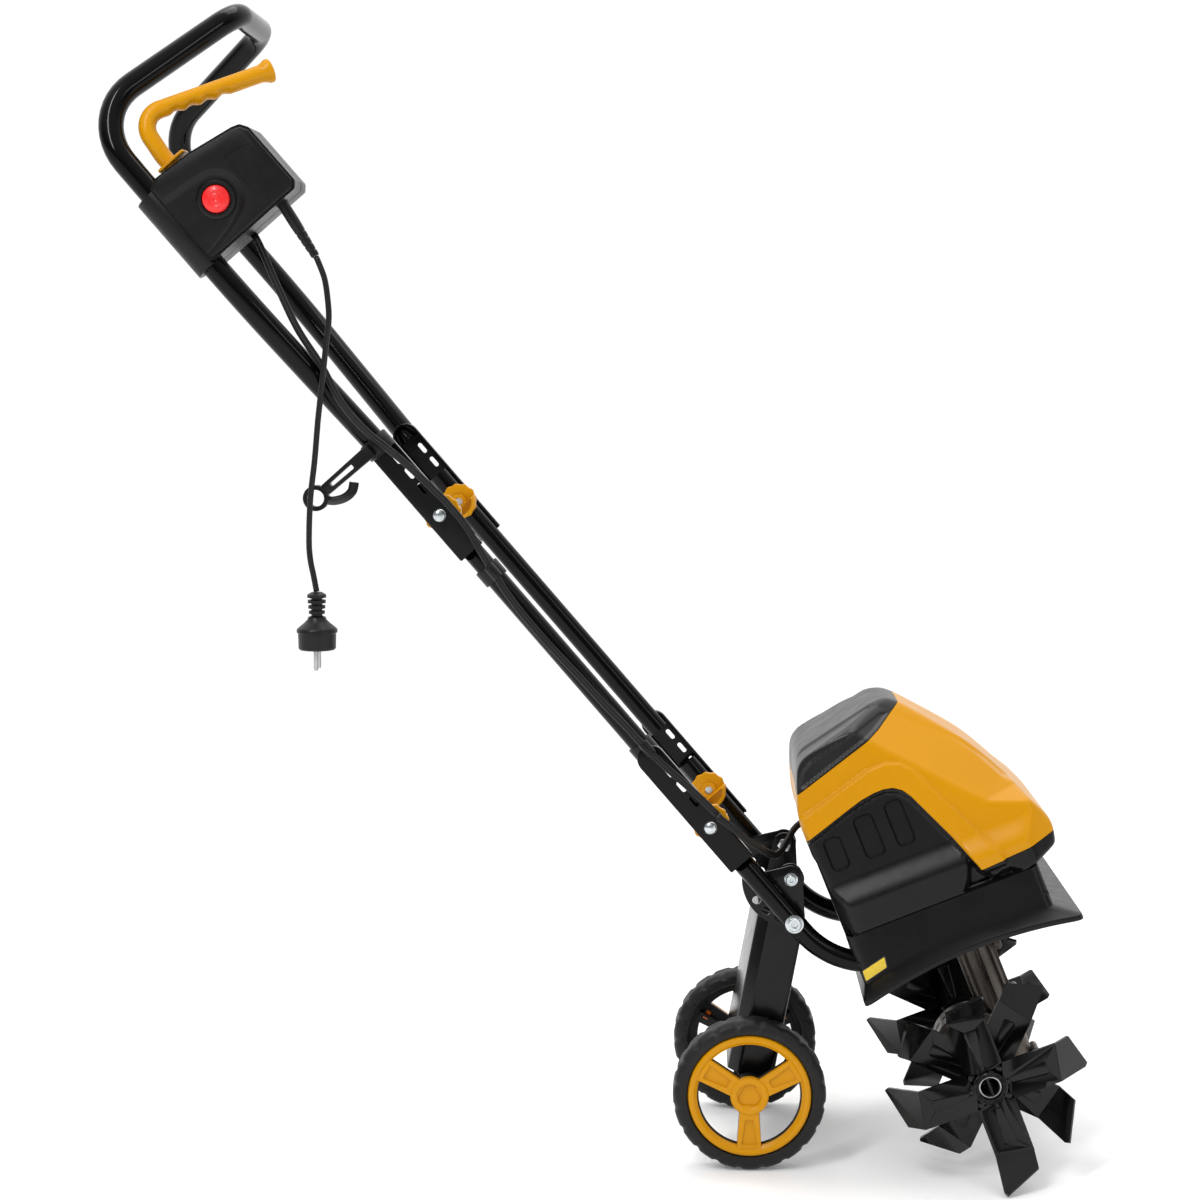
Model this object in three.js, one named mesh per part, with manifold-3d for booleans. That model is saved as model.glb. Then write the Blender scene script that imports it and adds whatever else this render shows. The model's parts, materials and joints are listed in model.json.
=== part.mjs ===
// An electric walk-behind garden tiller, built as the assembly it is taken apart into.
// Millimetres, +Z up, +X the way the machine drives, -Y its right-hand side.
// The origin is on the ground, under the middle of the whole machine.
import * as THREE from 'three';
import { mergeVertices } from 'three/addons/utils/BufferGeometryUtils.js';
import Module from 'manifold-3d';

const wasm = await Module();
wasm.setup();

// ---------------------------------------------------------------- driving dimensions
const GAP = 0.3;                  // clearance left between pieces that touch
const WHEEL_RADIUS = 80;
const WHEEL_TRACK = 206;          // between the wheels' middle planes
const WHEEL_WIDTH = 32;
const AXLE_RADIUS = 5;
const FRAME_TUBE_RADIUS = 11;     // lower frame and middle tubes
const TUBE_WALL = 1.4;
const HANDLE_TUBE_RADIUS = 12.5;  // upper handle
const TUBE_Y = 109;               // half the spacing of the straight tubes
const TUBE_SLOPE = 49.2;          // degrees between the handle line and the ground
const LOWER_FOLD = 133;           // along the handle line, from the lock bolt
const MID_LENGTH = 424;           // between the two fold bolts
const UPPER_FOLD = LOWER_FOLD + MID_LENGTH;
const HANDLE_LENGTH = 523;        // upper fold bolt to the bend of the grips
const TINE_SHAFT_RADIUS = 12;
const TINE_AXIS = [244, 105];     // X, Z of the tine shaft, from the wheel axle's foot
const MOTOR_TILT = 22;            // degrees that the motor leans back
const WORM_OFFSET = 40;           // worm shaft ahead of the tine shaft
const WORM_LEAD_STARTS = 2;
const WHEEL_TEETH = 30;
const CORD_RADIUS = 3;
const LOCK_BOLT = [45, 264];      // X, Z where the handle line starts
const ARM_PIVOT = [42, 306];      // X, Z of the wheel arm's hinge
const AXLE_FOOT = [150.95, 5.6, 0];  // the ground point under the middle of the axle

// ---------------------------------------------------------------- materials
const FINISHES = {
  gloss_black: { color: 0x0c0c0d, roughness: 0.2, metalness: 0.3 },
  black_plastic: { color: 0x1e1d1d, roughness: 0.55, metalness: 0 },
  satin_black: { color: 0x191818, roughness: 0.4, metalness: 0.2 },
  yellow_plastic: { color: 0xe8a000, roughness: 0.4, metalness: 0 },
  red_plastic: { color: 0xe03030, roughness: 0.4, metalness: 0 },
  tine_steel: { color: 0x3a3836, roughness: 0.35, metalness: 0.7 },
  cast_metal: { color: 0x70675e, roughness: 0.5, metalness: 0.8 },
  zinc: { color: 0xc0c6c8, roughness: 0.3, metalness: 1 },
  steel: { color: 0x8a8a88, roughness: 0.35, metalness: 1 },
  copper: { color: 0xb06a3a, roughness: 0.4, metalness: 0.9 },
  rubber: { color: 0x232221, roughness: 0.75, metalness: 0 },
};

// ---------------------------------------------------------------- small helpers
const radians = THREE.MathUtils.degToRad;
const vec = (x, y, z) => new THREE.Vector3(x, y, z);

function addPart(group, name, geometry, finish) {
  geometry.computeVertexNormals();
  const mesh = new THREE.Mesh(geometry, new THREE.MeshStandardMaterial(FINISHES[finish]));
  mesh.name = name;
  group.add(mesh);
  return mesh;
}

function sideName(side) {
  return side < 0 ? 'right' : 'left';
}

// A closed geometry as a solid that can be joined and cut.
function solid(geometry) {
  const bare = geometry.clone();
  bare.deleteAttribute('normal');
  bare.deleteAttribute('uv');
  const merged = mergeVertices(bare, 1e-4);
  const index = merged.index.array;
  const kept = [];
  for (let i = 0; i < index.length; i += 3) {
    const [a, b, c] = [index[i], index[i + 1], index[i + 2]];
    if (a !== b && b !== c && c !== a) kept.push(a, b, c);
  }
  return new wasm.Manifold(new wasm.Mesh({
    numProp: 3,
    vertProperties: new Float32Array(merged.attributes.position.array),
    triVerts: new Uint32Array(kept),
  }));
}

function geometryOf(body) {
  const mesh = body.getMesh();
  const geometry = new THREE.BufferGeometry();
  geometry.setAttribute('position', new THREE.BufferAttribute(new Float32Array(mesh.vertProperties), 3));
  geometry.setIndex(new THREE.BufferAttribute(new Uint32Array(mesh.triVerts), 1));
  return geometry;
}

function joined(...geometries) {
  return geometries.map((g) => (g.isBufferGeometry ? solid(g) : g)).reduce((a, b) => a.add(b));
}

function box(low, high) {
  const geometry = new THREE.BoxGeometry(high[0] - low[0], high[1] - low[1], high[2] - low[2]);
  return geometry.translate((low[0] + high[0]) / 2, (low[1] + high[1]) / 2, (low[2] + high[2]) / 2);
}

// A cylinder from y0 to y1 about a line along Y.
function rodY(radius, y0, y1, x = 0, z = 0, sides = 20) {
  return new THREE.CylinderGeometry(radius, radius, y1 - y0, sides).translate(x, (y0 + y1) / 2, z);
}

// A cylinder from z0 to z1 about a line along Z.
function rodZ(radius, z0, z1, x = 0, y = 0, sides = 20) {
  const geometry = new THREE.CylinderGeometry(radius, radius, z1 - z0, sides).rotateX(Math.PI / 2);
  return geometry.translate(x, y, (z0 + z1) / 2);
}

// A closed ring profile, [radius, height] pairs, turned about Y.
function ringY(profile, segments, x = 0, z = 0) {
  const points = [...profile, profile[0]].map(([r, h]) => new THREE.Vector2(r, h));
  return new THREE.LatheGeometry(points, segments).translate(x, 0, z);
}

function ringZ(profile, segments, x = 0, y = 0) {
  const points = [...profile, profile[0]].map(([r, h]) => new THREE.Vector2(r, h));
  return new THREE.LatheGeometry(points, segments).rotateX(Math.PI / 2).translate(x, y, 0);
}

function shapeOf(outline) {
  return new THREE.Shape(outline.map(([x, y]) => new THREE.Vector2(x, y)));
}

// An outline of [x, z] pairs (or a Shape), made into a plate from y0 to y1.
function plateXZ(outline, y0, y1, curveSegments = 6) {
  const shape = outline instanceof THREE.Shape ? outline : shapeOf(outline);
  const geometry = new THREE.ExtrudeGeometry(shape, { depth: y1 - y0, bevelEnabled: false, curveSegments });
  return geometry.rotateX(Math.PI / 2).translate(0, y1, 0);
}

// The same for an outline of [y, z] pairs, from x0 to x1.
function plateYZ(outline, x0, x1) {
  const geometry = new THREE.ExtrudeGeometry(shapeOf(outline), { depth: x1 - x0, bevelEnabled: false });
  return geometry.rotateY(Math.PI / 2).rotateX(Math.PI / 2).translate(x0, 0, 0);
}

// The same for an outline of [x, y] pairs, from z0 to z1.
function plateXY(outline, z0, z1) {
  const geometry = new THREE.ExtrudeGeometry(shapeOf(outline), { depth: z1 - z0, bevelEnabled: false });
  return geometry.translate(0, 0, z0);
}

// A run of pipe with straight stretches and round bends. Stations lie only where it bends.
class PipeRun extends THREE.Curve {
  constructor(corners, bends, arcSteps = 6) {
    super();
    this.stations = [corners[0]];
    this.tangents = [corners[1].clone().sub(corners[0]).normalize()];
    for (let i = 1; i < corners.length - 1; i += 1) {
      this.addBend(corners[i - 1], corners[i], corners[i + 1], bends[i - 1], arcSteps);
    }
    const last = corners.length - 1;
    this.stations.push(corners[last]);
    this.tangents.push(corners[last].clone().sub(corners[last - 1]).normalize());
  }

  addBend(before, corner, after, radius, arcSteps) {
    const into = corner.clone().sub(before).normalize();
    const out = after.clone().sub(corner).normalize();
    const turn = into.angleTo(out);
    const reach = radius * Math.tan(turn / 2);
    const start = corner.clone().addScaledVector(into, -reach);
    const inward = out.clone().addScaledVector(into, -into.dot(out)).normalize();
    for (let step = 0; step <= arcSteps; step += 1) {
      const angle = (turn * step) / arcSteps;
      const point = start.clone().addScaledVector(into, radius * Math.sin(angle));
      this.stations.push(point.addScaledVector(inward, radius * (1 - Math.cos(angle))));
      const tangent = into.clone().multiplyScalar(Math.cos(angle));
      this.tangents.push(tangent.addScaledVector(inward, Math.sin(angle)));
    }
  }

  getPoint(t) {
    return this.stations[Math.round(t * (this.stations.length - 1))].clone();
  }

  getPointAt(t) {
    return this.getPoint(t);
  }

  getTangentAt(t) {
    return this.tangents[Math.round(t * (this.tangents.length - 1))].clone();
  }
}

function circleShape(radius, sides) {
  const points = [];
  for (let i = 0; i < sides; i += 1) {
    const angle = (2 * Math.PI * i) / sides;
    points.push(new THREE.Vector2(radius * Math.cos(angle), radius * Math.sin(angle)));
  }
  return new THREE.Shape(points);
}

function pipe(corners, bends, radius, sides = 14, arcSteps = 6) {
  const run = new PipeRun(corners.map((c) => vec(...c)), bends, arcSteps);
  const options = { steps: run.stations.length - 1, extrudePath: run, bevelEnabled: false };
  return new THREE.ExtrudeGeometry(circleShape(radius, sides), options);
}

// A cable or lead along a smooth curve through its points.
function cable(points, radius, stepLength, sides = 8) {
  const curve = new THREE.CatmullRomCurve3(points.map((p) => vec(...p)), false, 'centripetal');
  const steps = Math.max(4, Math.round(curve.getLength() / stepLength));
  const options = { steps, extrudePath: curve, bevelEnabled: false };
  return new THREE.ExtrudeGeometry(circleShape(radius, sides), options);
}

function mirrored(geometry, side) {
  if (side < 0) return geometry;
  return geometryOf(solid(geometry).mirror([0, 1, 0]));
}

// ---------------------------------------------------------------- frames of the assembly
const tiller = new THREE.Group();
const machine = new THREE.Group();
machine.position.set(...AXLE_FOOT);
tiller.add(machine);

// Along the handle: local Z runs up the tubes, local X points up and forward, square to them.
const handleLine = new THREE.Group();
handleLine.position.set(LOCK_BOLT[0], 0, LOCK_BOLT[1]);
handleLine.rotation.y = -radians(90 - TUBE_SLOPE);
machine.add(handleLine);

// About the tine shaft: local Z runs up the leaning motor.
const motorLine = new THREE.Group();
motorLine.position.set(TINE_AXIS[0], 0, TINE_AXIS[1]);
motorLine.rotation.y = -radians(MOTOR_TILT);
machine.add(motorLine);

const armLength = Math.hypot(ARM_PIVOT[0], ARM_PIVOT[1] - WHEEL_RADIUS);
const armLine = new THREE.Group();
armLine.position.set(ARM_PIVOT[0], 0, ARM_PIVOT[1]);
armLine.rotation.y = Math.atan2(ARM_PIVOT[0], ARM_PIVOT[1] - WHEEL_RADIUS);
machine.add(armLine);

// A point on the handle line, in the machine's own axes.
function onHandle(along, y, across = 0) {
  const slope = radians(TUBE_SLOPE);
  const x = LOCK_BOLT[0] - along * Math.cos(slope) + across * Math.sin(slope);
  const z = LOCK_BOLT[1] + along * Math.sin(slope) + across * Math.cos(slope);
  return [x, y, z];
}

// ---------------------------------------------------------------- fold joints of the tubes
const CHANNEL = { below: 50, above: 108, inner: 113, outer: 123.5, half: 14.5, wall: 2.6 };
const FLAT_FACE_Y = CHANNEL.inner - GAP;  // outer face of the tube end that sits in a channel
const FLAT_BELOW = 56;                    // how far below the bolt the tube end is pressed flat
const TUBE_ABOVE = 38;                    // how far the tube end passes the bolt
const TUBE_START = 86;                    // past the bolt, where the channel's own tube starts
const FOLD_BOLT_RADIUS = 4;

// The pressed channel that the upper tube of each fold lays over the lower one.
function foldChannel(at) {
  const { below, above, inner, outer, half, wall } = CHANNEL;
  const round = new THREE.Shape();
  round.moveTo(-half, at - below);
  round.lineTo(half, at - below);
  round.lineTo(half, at + above - half);
  round.absarc(0, at + above - half, half, 0, Math.PI, false);
  const inside = new THREE.Shape();
  inside.moveTo(-half + wall, at - below - 1);
  inside.lineTo(half - wall, at - below - 1);
  inside.lineTo(half - wall, at + above - half);
  inside.absarc(0, at + above - half, half - wall, 0, Math.PI, false);
  let channel = solid(plateXZ(round, -outer, -inner, 4));
  channel = channel.subtract(solid(plateXZ(inside, -outer + wall, -inner + 1, 4)));
  for (const hole of [32, 52, 72]) {
    channel = channel.subtract(solid(plateXZ(slotOutline(5, at + hole, 2.4, 6.5), -outer - 1, -inner, 3)));
  }
  return channel.subtract(solid(rodY(FOLD_BOLT_RADIUS + GAP, -outer - 1, -inner + 1, 0, at, 16)));
}

function slotOutline(x, z, radius, halfLength) {
  const shape = new THREE.Shape();
  shape.absarc(x, z + halfLength - radius, radius, 0, Math.PI, false);
  shape.absarc(x, z - halfLength + radius, radius, Math.PI, 2 * Math.PI, false);
  return shape;
}

// Presses a right-hand tube flat on its outer side about a fold bolt, and drills it.
function pressedEnd(tube, at) {
  const press = box([-40, -TUBE_Y - 40, at - FLAT_BELOW], [40, -FLAT_FACE_Y, at + TUBE_ABOVE + 20]);
  const drill = rodY(FOLD_BOLT_RADIUS + GAP, -TUBE_Y - 20, -TUBE_Y + 20, 0, at, 16);
  return tube.subtract(solid(press)).subtract(solid(drill));
}

const KNOB = { face: 97.5, disc: 7, grip: 13, radius: 20 };

// A round clamp knob with a raised wing across half of its face, on the inner side of a tube.
function clampKnob(at) {
  const disc = rodY(KNOB.radius, -KNOB.face, -KNOB.face + KNOB.disc, 0, at, 20);
  const wing = new THREE.Shape();
  wing.absarc(0, at, KNOB.radius - 0.5, radians(200), radians(340), false);
  const grip = plateXZ(wing, -KNOB.face + KNOB.disc - 1, -KNOB.face + KNOB.disc + KNOB.grip, 5);
  const bore = rodY(FOLD_BOLT_RADIUS + GAP, -KNOB.face - 1, -KNOB.face + KNOB.disc + 2, 0, at, 12);
  return geometryOf(joined(disc, grip).subtract(solid(bore)));
}

function foldBolt(at) {
  const head = new THREE.SphereGeometry(7, 12, 6).scale(1, 0.5, 1).translate(0, -CHANNEL.outer - GAP, at);
  const cut = box([-20, -CHANNEL.outer - GAP, at - 20], [20, -CHANNEL.outer + 20, at + 20]);
  const shank = rodY(FOLD_BOLT_RADIUS, -CHANNEL.outer - GAP - 1, -KNOB.face + KNOB.disc, 0, at, 12);
  return geometryOf(solid(head).subtract(solid(cut)).add(solid(shank)));
}

function addFoldHardware(side) {
  const folds = { lower: LOWER_FOLD, upper: UPPER_FOLD };
  for (const [level, at] of Object.entries(folds)) {
    const knob = mirrored(clampKnob(at), side);
    addPart(handleLine, `${level}_clamp_knob_${sideName(side)}`, knob, 'yellow_plastic');
    addPart(handleLine, `${level}_fold_bolt_${sideName(side)}`, mirrored(foldBolt(at), side), 'zinc');
  }
}

// ---------------------------------------------------------------- lower frame
const FRAME_TAIL_Z = 222;      // height where the frame tubes run level into the motor cover
const FRAME_TAIL_X = 152;
const FRAME_BEND = 90;

function frameTube(radius, top = LOWER_FOLD + TUBE_ABOVE, tail = FRAME_TAIL_X, sides = 12) {
  const slope = radians(TUBE_SLOPE);
  const drop = (LOCK_BOLT[1] - FRAME_TAIL_Z) / Math.sin(slope);
  const corners = [
    onHandle(top, -TUBE_Y),
    onHandle(-drop, -TUBE_Y),
    [tail, -TUBE_Y, FRAME_TAIL_Z],
  ];
  return pipe(corners, [FRAME_BEND], radius, sides, 5);
}

function addFrameTubes() {
  const toHandle = new THREE.Matrix4().makeRotationY(radians(90 - TUBE_SLOPE));
  toHandle.multiply(new THREE.Matrix4().makeTranslation(-LOCK_BOLT[0], 0, -LOCK_BOLT[1]));
  const hollow = frameTube(FRAME_TUBE_RADIUS - TUBE_WALL, LOWER_FOLD - FLAT_BELOW - 4, FRAME_TAIL_X + 2, 8);
  let tube = pressedEnd(solid(frameTube(FRAME_TUBE_RADIUS).applyMatrix4(toHandle)), LOWER_FOLD);
  tube = tube.subtract(solid(hollow.applyMatrix4(toHandle)));
  tube = tube.subtract(solid(rodY(LOCK.shank + GAP, -TUBE_Y - 20, -TUBE_Y + 20, 0, 0, 16)));
  for (const side of [-1, 1]) {
    addPart(handleLine, `frame_tube_${sideName(side)}`, mirrored(geometryOf(tube), side), 'gloss_black');
  }
}

const LOCK = { shank: 4, head: 9.5, headDepth: 6.5, nut: 8 };
const SECTOR = { inner: 94.2, outer: 97.6, radius: 51, hole: 4.6, lobe: 14, holes: 4, step: 20.5 };

// The toothless sector plate: a row of holes about the wheel arm's pivot.
function sectorPlate() {
  const [x, z] = ARM_PIVOT;
  const shape = new THREE.Shape();
  shape.absarc(x, z, SECTOR.radius, radians(178), radians(288), false);
  shape.absarc(x, z, SECTOR.lobe, radians(-30), radians(120), false);
  let plate = solid(plateXZ(shape, -SECTOR.outer, -SECTOR.inner, 5));
  const ring = Math.hypot(LOCK_BOLT[0] - x, LOCK_BOLT[1] - z);
  const first = Math.atan2(LOCK_BOLT[1] - z, LOCK_BOLT[0] - x);
  for (let i = 0; i < SECTOR.holes; i += 1) {
    const angle = first - radians(SECTOR.step * i);
    const [hx, hz] = [x + ring * Math.cos(angle), z + ring * Math.sin(angle)];
    plate = plate.subtract(solid(rodY(SECTOR.hole, -SECTOR.outer - 1, -SECTOR.inner + 1, hx, hz, 12)));
  }
  const hole = rodY(LOCK.shank + GAP, -SECTOR.outer - 1, -SECTOR.inner + 1, x, z, 12);
  return geometryOf(plate.subtract(solid(hole)));
}

// A bolt along Y with a domed hexagon head outside and its nut inside.
function crossBolt([x, z], headFace, headRadius, tip, nutFace) {
  const head = rodY(headRadius, -headFace - LOCK.headDepth, -headFace, x, z, 12);
  const shank = rodY(LOCK.shank, -headFace - 1, -tip, x, z, 12);
  const nut = rodY(LOCK.nut, -nutFace, -nutFace + 5, x, z, 6);
  return geometryOf(joined(head, shank, nut));
}

function addWheelArmMount(side) {
  addPart(machine, `sector_plate_${sideName(side)}`, mirrored(sectorPlate(), side), 'satin_black');
  const lock = crossBolt(LOCK_BOLT, TUBE_Y + FRAME_TUBE_RADIUS + GAP, LOCK.head, 88, SECTOR.inner - GAP);
  addPart(machine, `lock_bolt_${sideName(side)}`, mirrored(lock, side), 'zinc');
  const pivot = crossBolt(ARM_PIVOT, SECTOR.outer + GAP, 7, 72, ARM.flange - ARM.sheet - GAP);
  addPart(machine, `arm_pivot_bolt_${sideName(side)}`, mirrored(pivot, side), 'zinc');
}

// ---------------------------------------------------------------- wheel arm and wheels
const ARM = { flange: 82, sheet: 3, rear: -25, front: 24, chamfer: 12, webTop: -42, top: 13 };

// A folded steel channel, open to the front, whose two flanges hold the pivot and the axle.
function wheelArm() {
  const { flange: f, sheet: s, rear, front, chamfer: c } = ARM;
  const slant = s * 0.41;
  const section = [
    [front, -f], [front, -f + s], [rear + c + slant, -f + s], [rear + s, -f + c + slant],
    [rear + s, f - c - slant], [rear + c + slant, f - s], [front, f - s], [front, f],
    [rear + c, f], [rear, f - c], [rear, -f + c], [rear + c, -f],
  ];
  let arm = solid(plateXY(section, -armLength + 12, ARM.webTop));
  for (const side of [-1, 1]) {
    const y0 = side < 0 ? -f : f - s;
    const ear = new THREE.Shape();
    ear.moveTo(front, ARM.webTop - 2);
    ear.absarc(0, 0, ARM.top, radians(20), radians(170), false);
    ear.lineTo(rear + c, ARM.webTop - 2);
    const foot = new THREE.Shape();
    foot.moveTo(rear + c, -armLength + 14);
    foot.absarc(0, -armLength, ARM.top, radians(190), radians(350), false);
    foot.lineTo(front - 4, -armLength + 14);
    arm = arm.add(solid(plateXZ(ear, y0, y0 + s))).add(solid(plateXZ(foot, y0, y0 + s)));
  }
  arm = arm.subtract(solid(rodY(LOCK.shank + GAP, -f - 5, f + 5, 0, 0, 16)));
  return geometryOf(arm.subtract(solid(rodY(AXLE_RADIUS + GAP, -f - 5, f + 5, 0, -armLength, 16))));
}

const TREAD_SEGMENTS = 24;
const HUB_RADIUS = 17;
const SPOKES = 3;

function spokes(width, y0, y1, inner, outer, turn) {
  const arms = [];
  for (let i = 0; i < SPOKES; i += 1) {
    const arm = box([-width / 2, y0, -outer], [width / 2, y1, -inner]);
    arms.push(solid(arm.rotateY(turn + (2 * Math.PI * i) / SPOKES)));
  }
  return arms.reduce((a, b) => a.add(b));
}

// The black wheel moulding: tread ring, inner rim, spokes and hub. y runs outwards.
function wheelBody() {
  const half = WHEEL_WIDTH / 2;
  const tread = ringY([
    [74, -half], [78.4, -half + 4], [WHEEL_RADIUS, -4], [WHEEL_RADIUS, 4], [78.4, half - 4], [74, half],
    [65, half - 1], [65, -half + 1],
  ], TREAD_SEGMENTS);
  const web = ringY([[66, 4], [66, 7], [54, 7], [54, 4]], TREAD_SEGMENTS);
  const hub = rodY(HUB_RADIUS, -half + 1, half - 8, 0, 0, 20);
  const wheel = joined(tread, web, hub).add(spokes(24, 3, 7, 10, 60, 0));
  return wheel.subtract(solid(rodY(AXLE_RADIUS + GAP, -half - 1, half + 1, 0, 0, 20)));
}

// The yellow cover that snaps on the outer face.
function wheelCover() {
  const half = WHEEL_WIDTH / 2;
  const rimProfile = [[64, half - 8.5], [64, half - 1.5], [61, half], [54, half - 3], [54, half - 8.5]];
  const rim = ringY(rimProfile, TREAD_SEGMENTS);
  const hub = rodY(20, half - 7.5, half, 0, 0, 24);
  const cover = joined(rim, hub).add(spokes(24, half - 8.5, half - 3, 12, 58, 0));
  const recess = rodY(11.5, half - 4, half + 1, 0, 0, 20);
  const socket = rodY(HUB_RADIUS + GAP, half - 20, half - 7.7, 0, 0, 20);
  return cover.subtract(solid(recess)).subtract(solid(socket));
}

function addWheels() {
  for (const side of [-1, 1]) {
    for (const [name, make, finish] of [
      ['wheel', wheelBody, 'black_plastic'], ['wheel_cover', wheelCover, 'yellow_plastic']]) {
      const outward = side < 0 ? make().mirror([0, 1, 0]) : make();
      const mesh = addPart(machine, `${name}_${sideName(side)}`, geometryOf(outward), finish);
      mesh.position.set(0, side * WHEEL_TRACK / 2, WHEEL_RADIUS);
    }
  }
  const reach = WHEEL_TRACK / 2 + 7;
  addPart(machine, 'wheel_axle', rodY(AXLE_RADIUS, -reach, reach, 0, WHEEL_RADIUS, 16), 'steel');
}

// ---------------------------------------------------------------- middle tubes
function addMidTubes() {
  const foot = LOWER_FOLD + TUBE_START;
  const straight = rodZ(FRAME_TUBE_RADIUS, foot, UPPER_FOLD + TUBE_ABOVE, 0, -TUBE_Y, 14);
  const bore = rodZ(FRAME_TUBE_RADIUS - TUBE_WALL, foot - 2, UPPER_FOLD - FLAT_BELOW - 4, 0, -TUBE_Y, 14);
  const tube = pressedEnd(solid(straight), UPPER_FOLD).add(foldChannel(LOWER_FOLD)).subtract(solid(bore));
  for (const side of [-1, 1]) {
    addPart(handleLine, `mid_tube_${sideName(side)}`, mirrored(geometryOf(tube), side), 'gloss_black');
  }
}

// ---------------------------------------------------------------- upper handle
const HANDLE = { startY: 128, splayY: 181, bendY: 172, topY: 79, gripReach: 174, splay: 290 };

function handleCorners() {
  const bend = UPPER_FOLD + HANDLE_LENGTH;
  const start = UPPER_FOLD + TUBE_START;
  const right = [
    [0, -HANDLE.startY, start],
    [0, -HANDLE.splayY, UPPER_FOLD + HANDLE.splay],
    [0, -HANDLE.bendY, bend],
    [HANDLE.gripReach, -HANDLE.topY, bend - 3],
  ];
  const left = right.map(([x, y, z]) => [x, -y, z]).reverse();
  return [...right, ...left];
}

function handlePipe(radius, extra = 0, sides = 12) {
  const corners = handleCorners();
  corners[0][2] -= extra;
  corners[corners.length - 1][2] -= extra;
  return pipe(corners, [400, 60, 42, 42, 60, 400], radius, sides, 4);
}

function addHandleTube() {
  const channel = foldChannel(UPPER_FOLD);
  const tube = solid(handlePipe(HANDLE_TUBE_RADIUS)).add(channel).add(channel.mirror([0, 1, 0]));
  const bore = solid(handlePipe(HANDLE_TUBE_RADIUS - TUBE_WALL, 3, 8));
  addPart(handleLine, 'handle_tube', geometryOf(tube.subtract(bore)), 'gloss_black');
}

// ---------------------------------------------------------------- switch box
// The box's own places in the handle line's axes: n is local X, t is local Z.
const BOX = { face: -197, split: -161, back: -125, wall: 3, bottom: 889, top: 983 };
const BUTTON = { x: 47, z: 931.6, radius: 13.6, proud: 4.5 };
const LEVER_PIVOT = { x: 34, z: 968 };
const LEVER_SLOT = { x0: 14, x1: 52, y0: -177, y1: -151 };

function boxOutline(inset) {
  const { bottom, top } = BOX;
  return [
    [3.4 + inset, bottom + inset], [112 - inset, bottom + inset], [117.5 - inset, bottom + 6 + inset],
    [117 - inset, top - 20 - inset], [112 - inset, top - 12 - inset], [104 - inset, top - 9 - inset],
    [56, top - inset], [15 + inset, top + 3 - inset], [3.4 + inset, top - 2 - inset],
  ];
}

function boxShell(y0, y1, openAt) {
  const outer = solid(plateXZ(boxOutline(0), y0, y1));
  const inner = openAt < 0
    ? plateXZ(boxOutline(BOX.wall), y0 - 1, y1 - BOX.wall)
    : plateXZ(boxOutline(BOX.wall), y0 + BOX.wall, y1 + 1);
  return outer.subtract(solid(inner));
}

function addSwitchBox() {
  const bore = solid(handlePipe(HANDLE_TUBE_RADIUS + GAP));
  const slot = solid(box([LEVER_SLOT.x0, LEVER_SLOT.y0, 960], [LEVER_SLOT.x1, LEVER_SLOT.y1, 1010]));
  const saddle = solid(box([3.4, BOX.face + 2, BOX.bottom], [18, BOX.split, BOX.top - 4]));
  const buttonHole = solid(rodY(BUTTON.radius + 0.5, BOX.face - 2, BOX.face + 8, BUTTON.x, BUTTON.z, 24));
  const reliefHole = solid(rodZ(RELIEF.radius + 0.9, 870, 900, RELIEF.x, RELIEF.y, 14));
  const cableHole = solid(rodZ(MOTOR_CABLE.radius + GAP, 870, 900, MOTOR_CABLE.x, MOTOR_CABLE.y, 12));
  const front = boxShell(BOX.face, BOX.split, 1).add(saddle).subtract(bore).subtract(slot)
    .subtract(buttonHole).subtract(reliefHole);
  addPart(handleLine, 'switch_box_front', geometryOf(front), 'black_plastic');
  const rear = boxShell(BOX.split + GAP, BOX.back, -1).subtract(bore).subtract(slot).subtract(cableHole);
  addPart(handleLine, 'switch_box_rear', geometryOf(rear), 'black_plastic');

  const middle = -HANDLE.splayY + 3.2;
  const clampRound = rodZ(19.5, BOX.bottom - 2, BOX.top - 4, 0, middle, 20);
  const half = box([-30, middle - 30, BOX.bottom - 3], [3.1, middle + 30, BOX.top]);
  const clamp = solid(clampRound).intersect(solid(half)).subtract(bore);
  addPart(handleLine, 'tube_clamp', geometryOf(clamp), 'black_plastic');

  const cheeks = [LEVER.y - 13, LEVER.y + 10.5].map((y) => box([24, y, 940], [44, y + 2.5, 976]));
  const back = BOX.back - BOX.wall - GAP;
  const block = joined(box([24, -176, 898], [72, back, 952]), ...cheeks)
    .subtract(solid(rodY(3 + GAP, LEVER.y - 20, LEVER.y + 20, LEVER_PIVOT.x, LEVER_PIVOT.z, 12)));
  addPart(handleLine, 'switch_block', geometryOf(block), 'black_plastic');
  addButton();
}

function addButton() {
  const face = BOX.face - BUTTON.proud;
  const cap = ringY([[0, face - 1], [8, face - 1], [12.4, face], [BUTTON.radius, face + 1.2],
    [BUTTON.radius, -186], [0, -186]], 24, BUTTON.x, BUTTON.z);
  addPart(handleLine, 'safety_button', geometryOf(solid(cap)), 'red_plastic');
}

// The hand lever: a bent round bar with a collar over its slot and a flared end.
const LEVER = { y: -164, radius: 9, collar: 992 };

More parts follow.
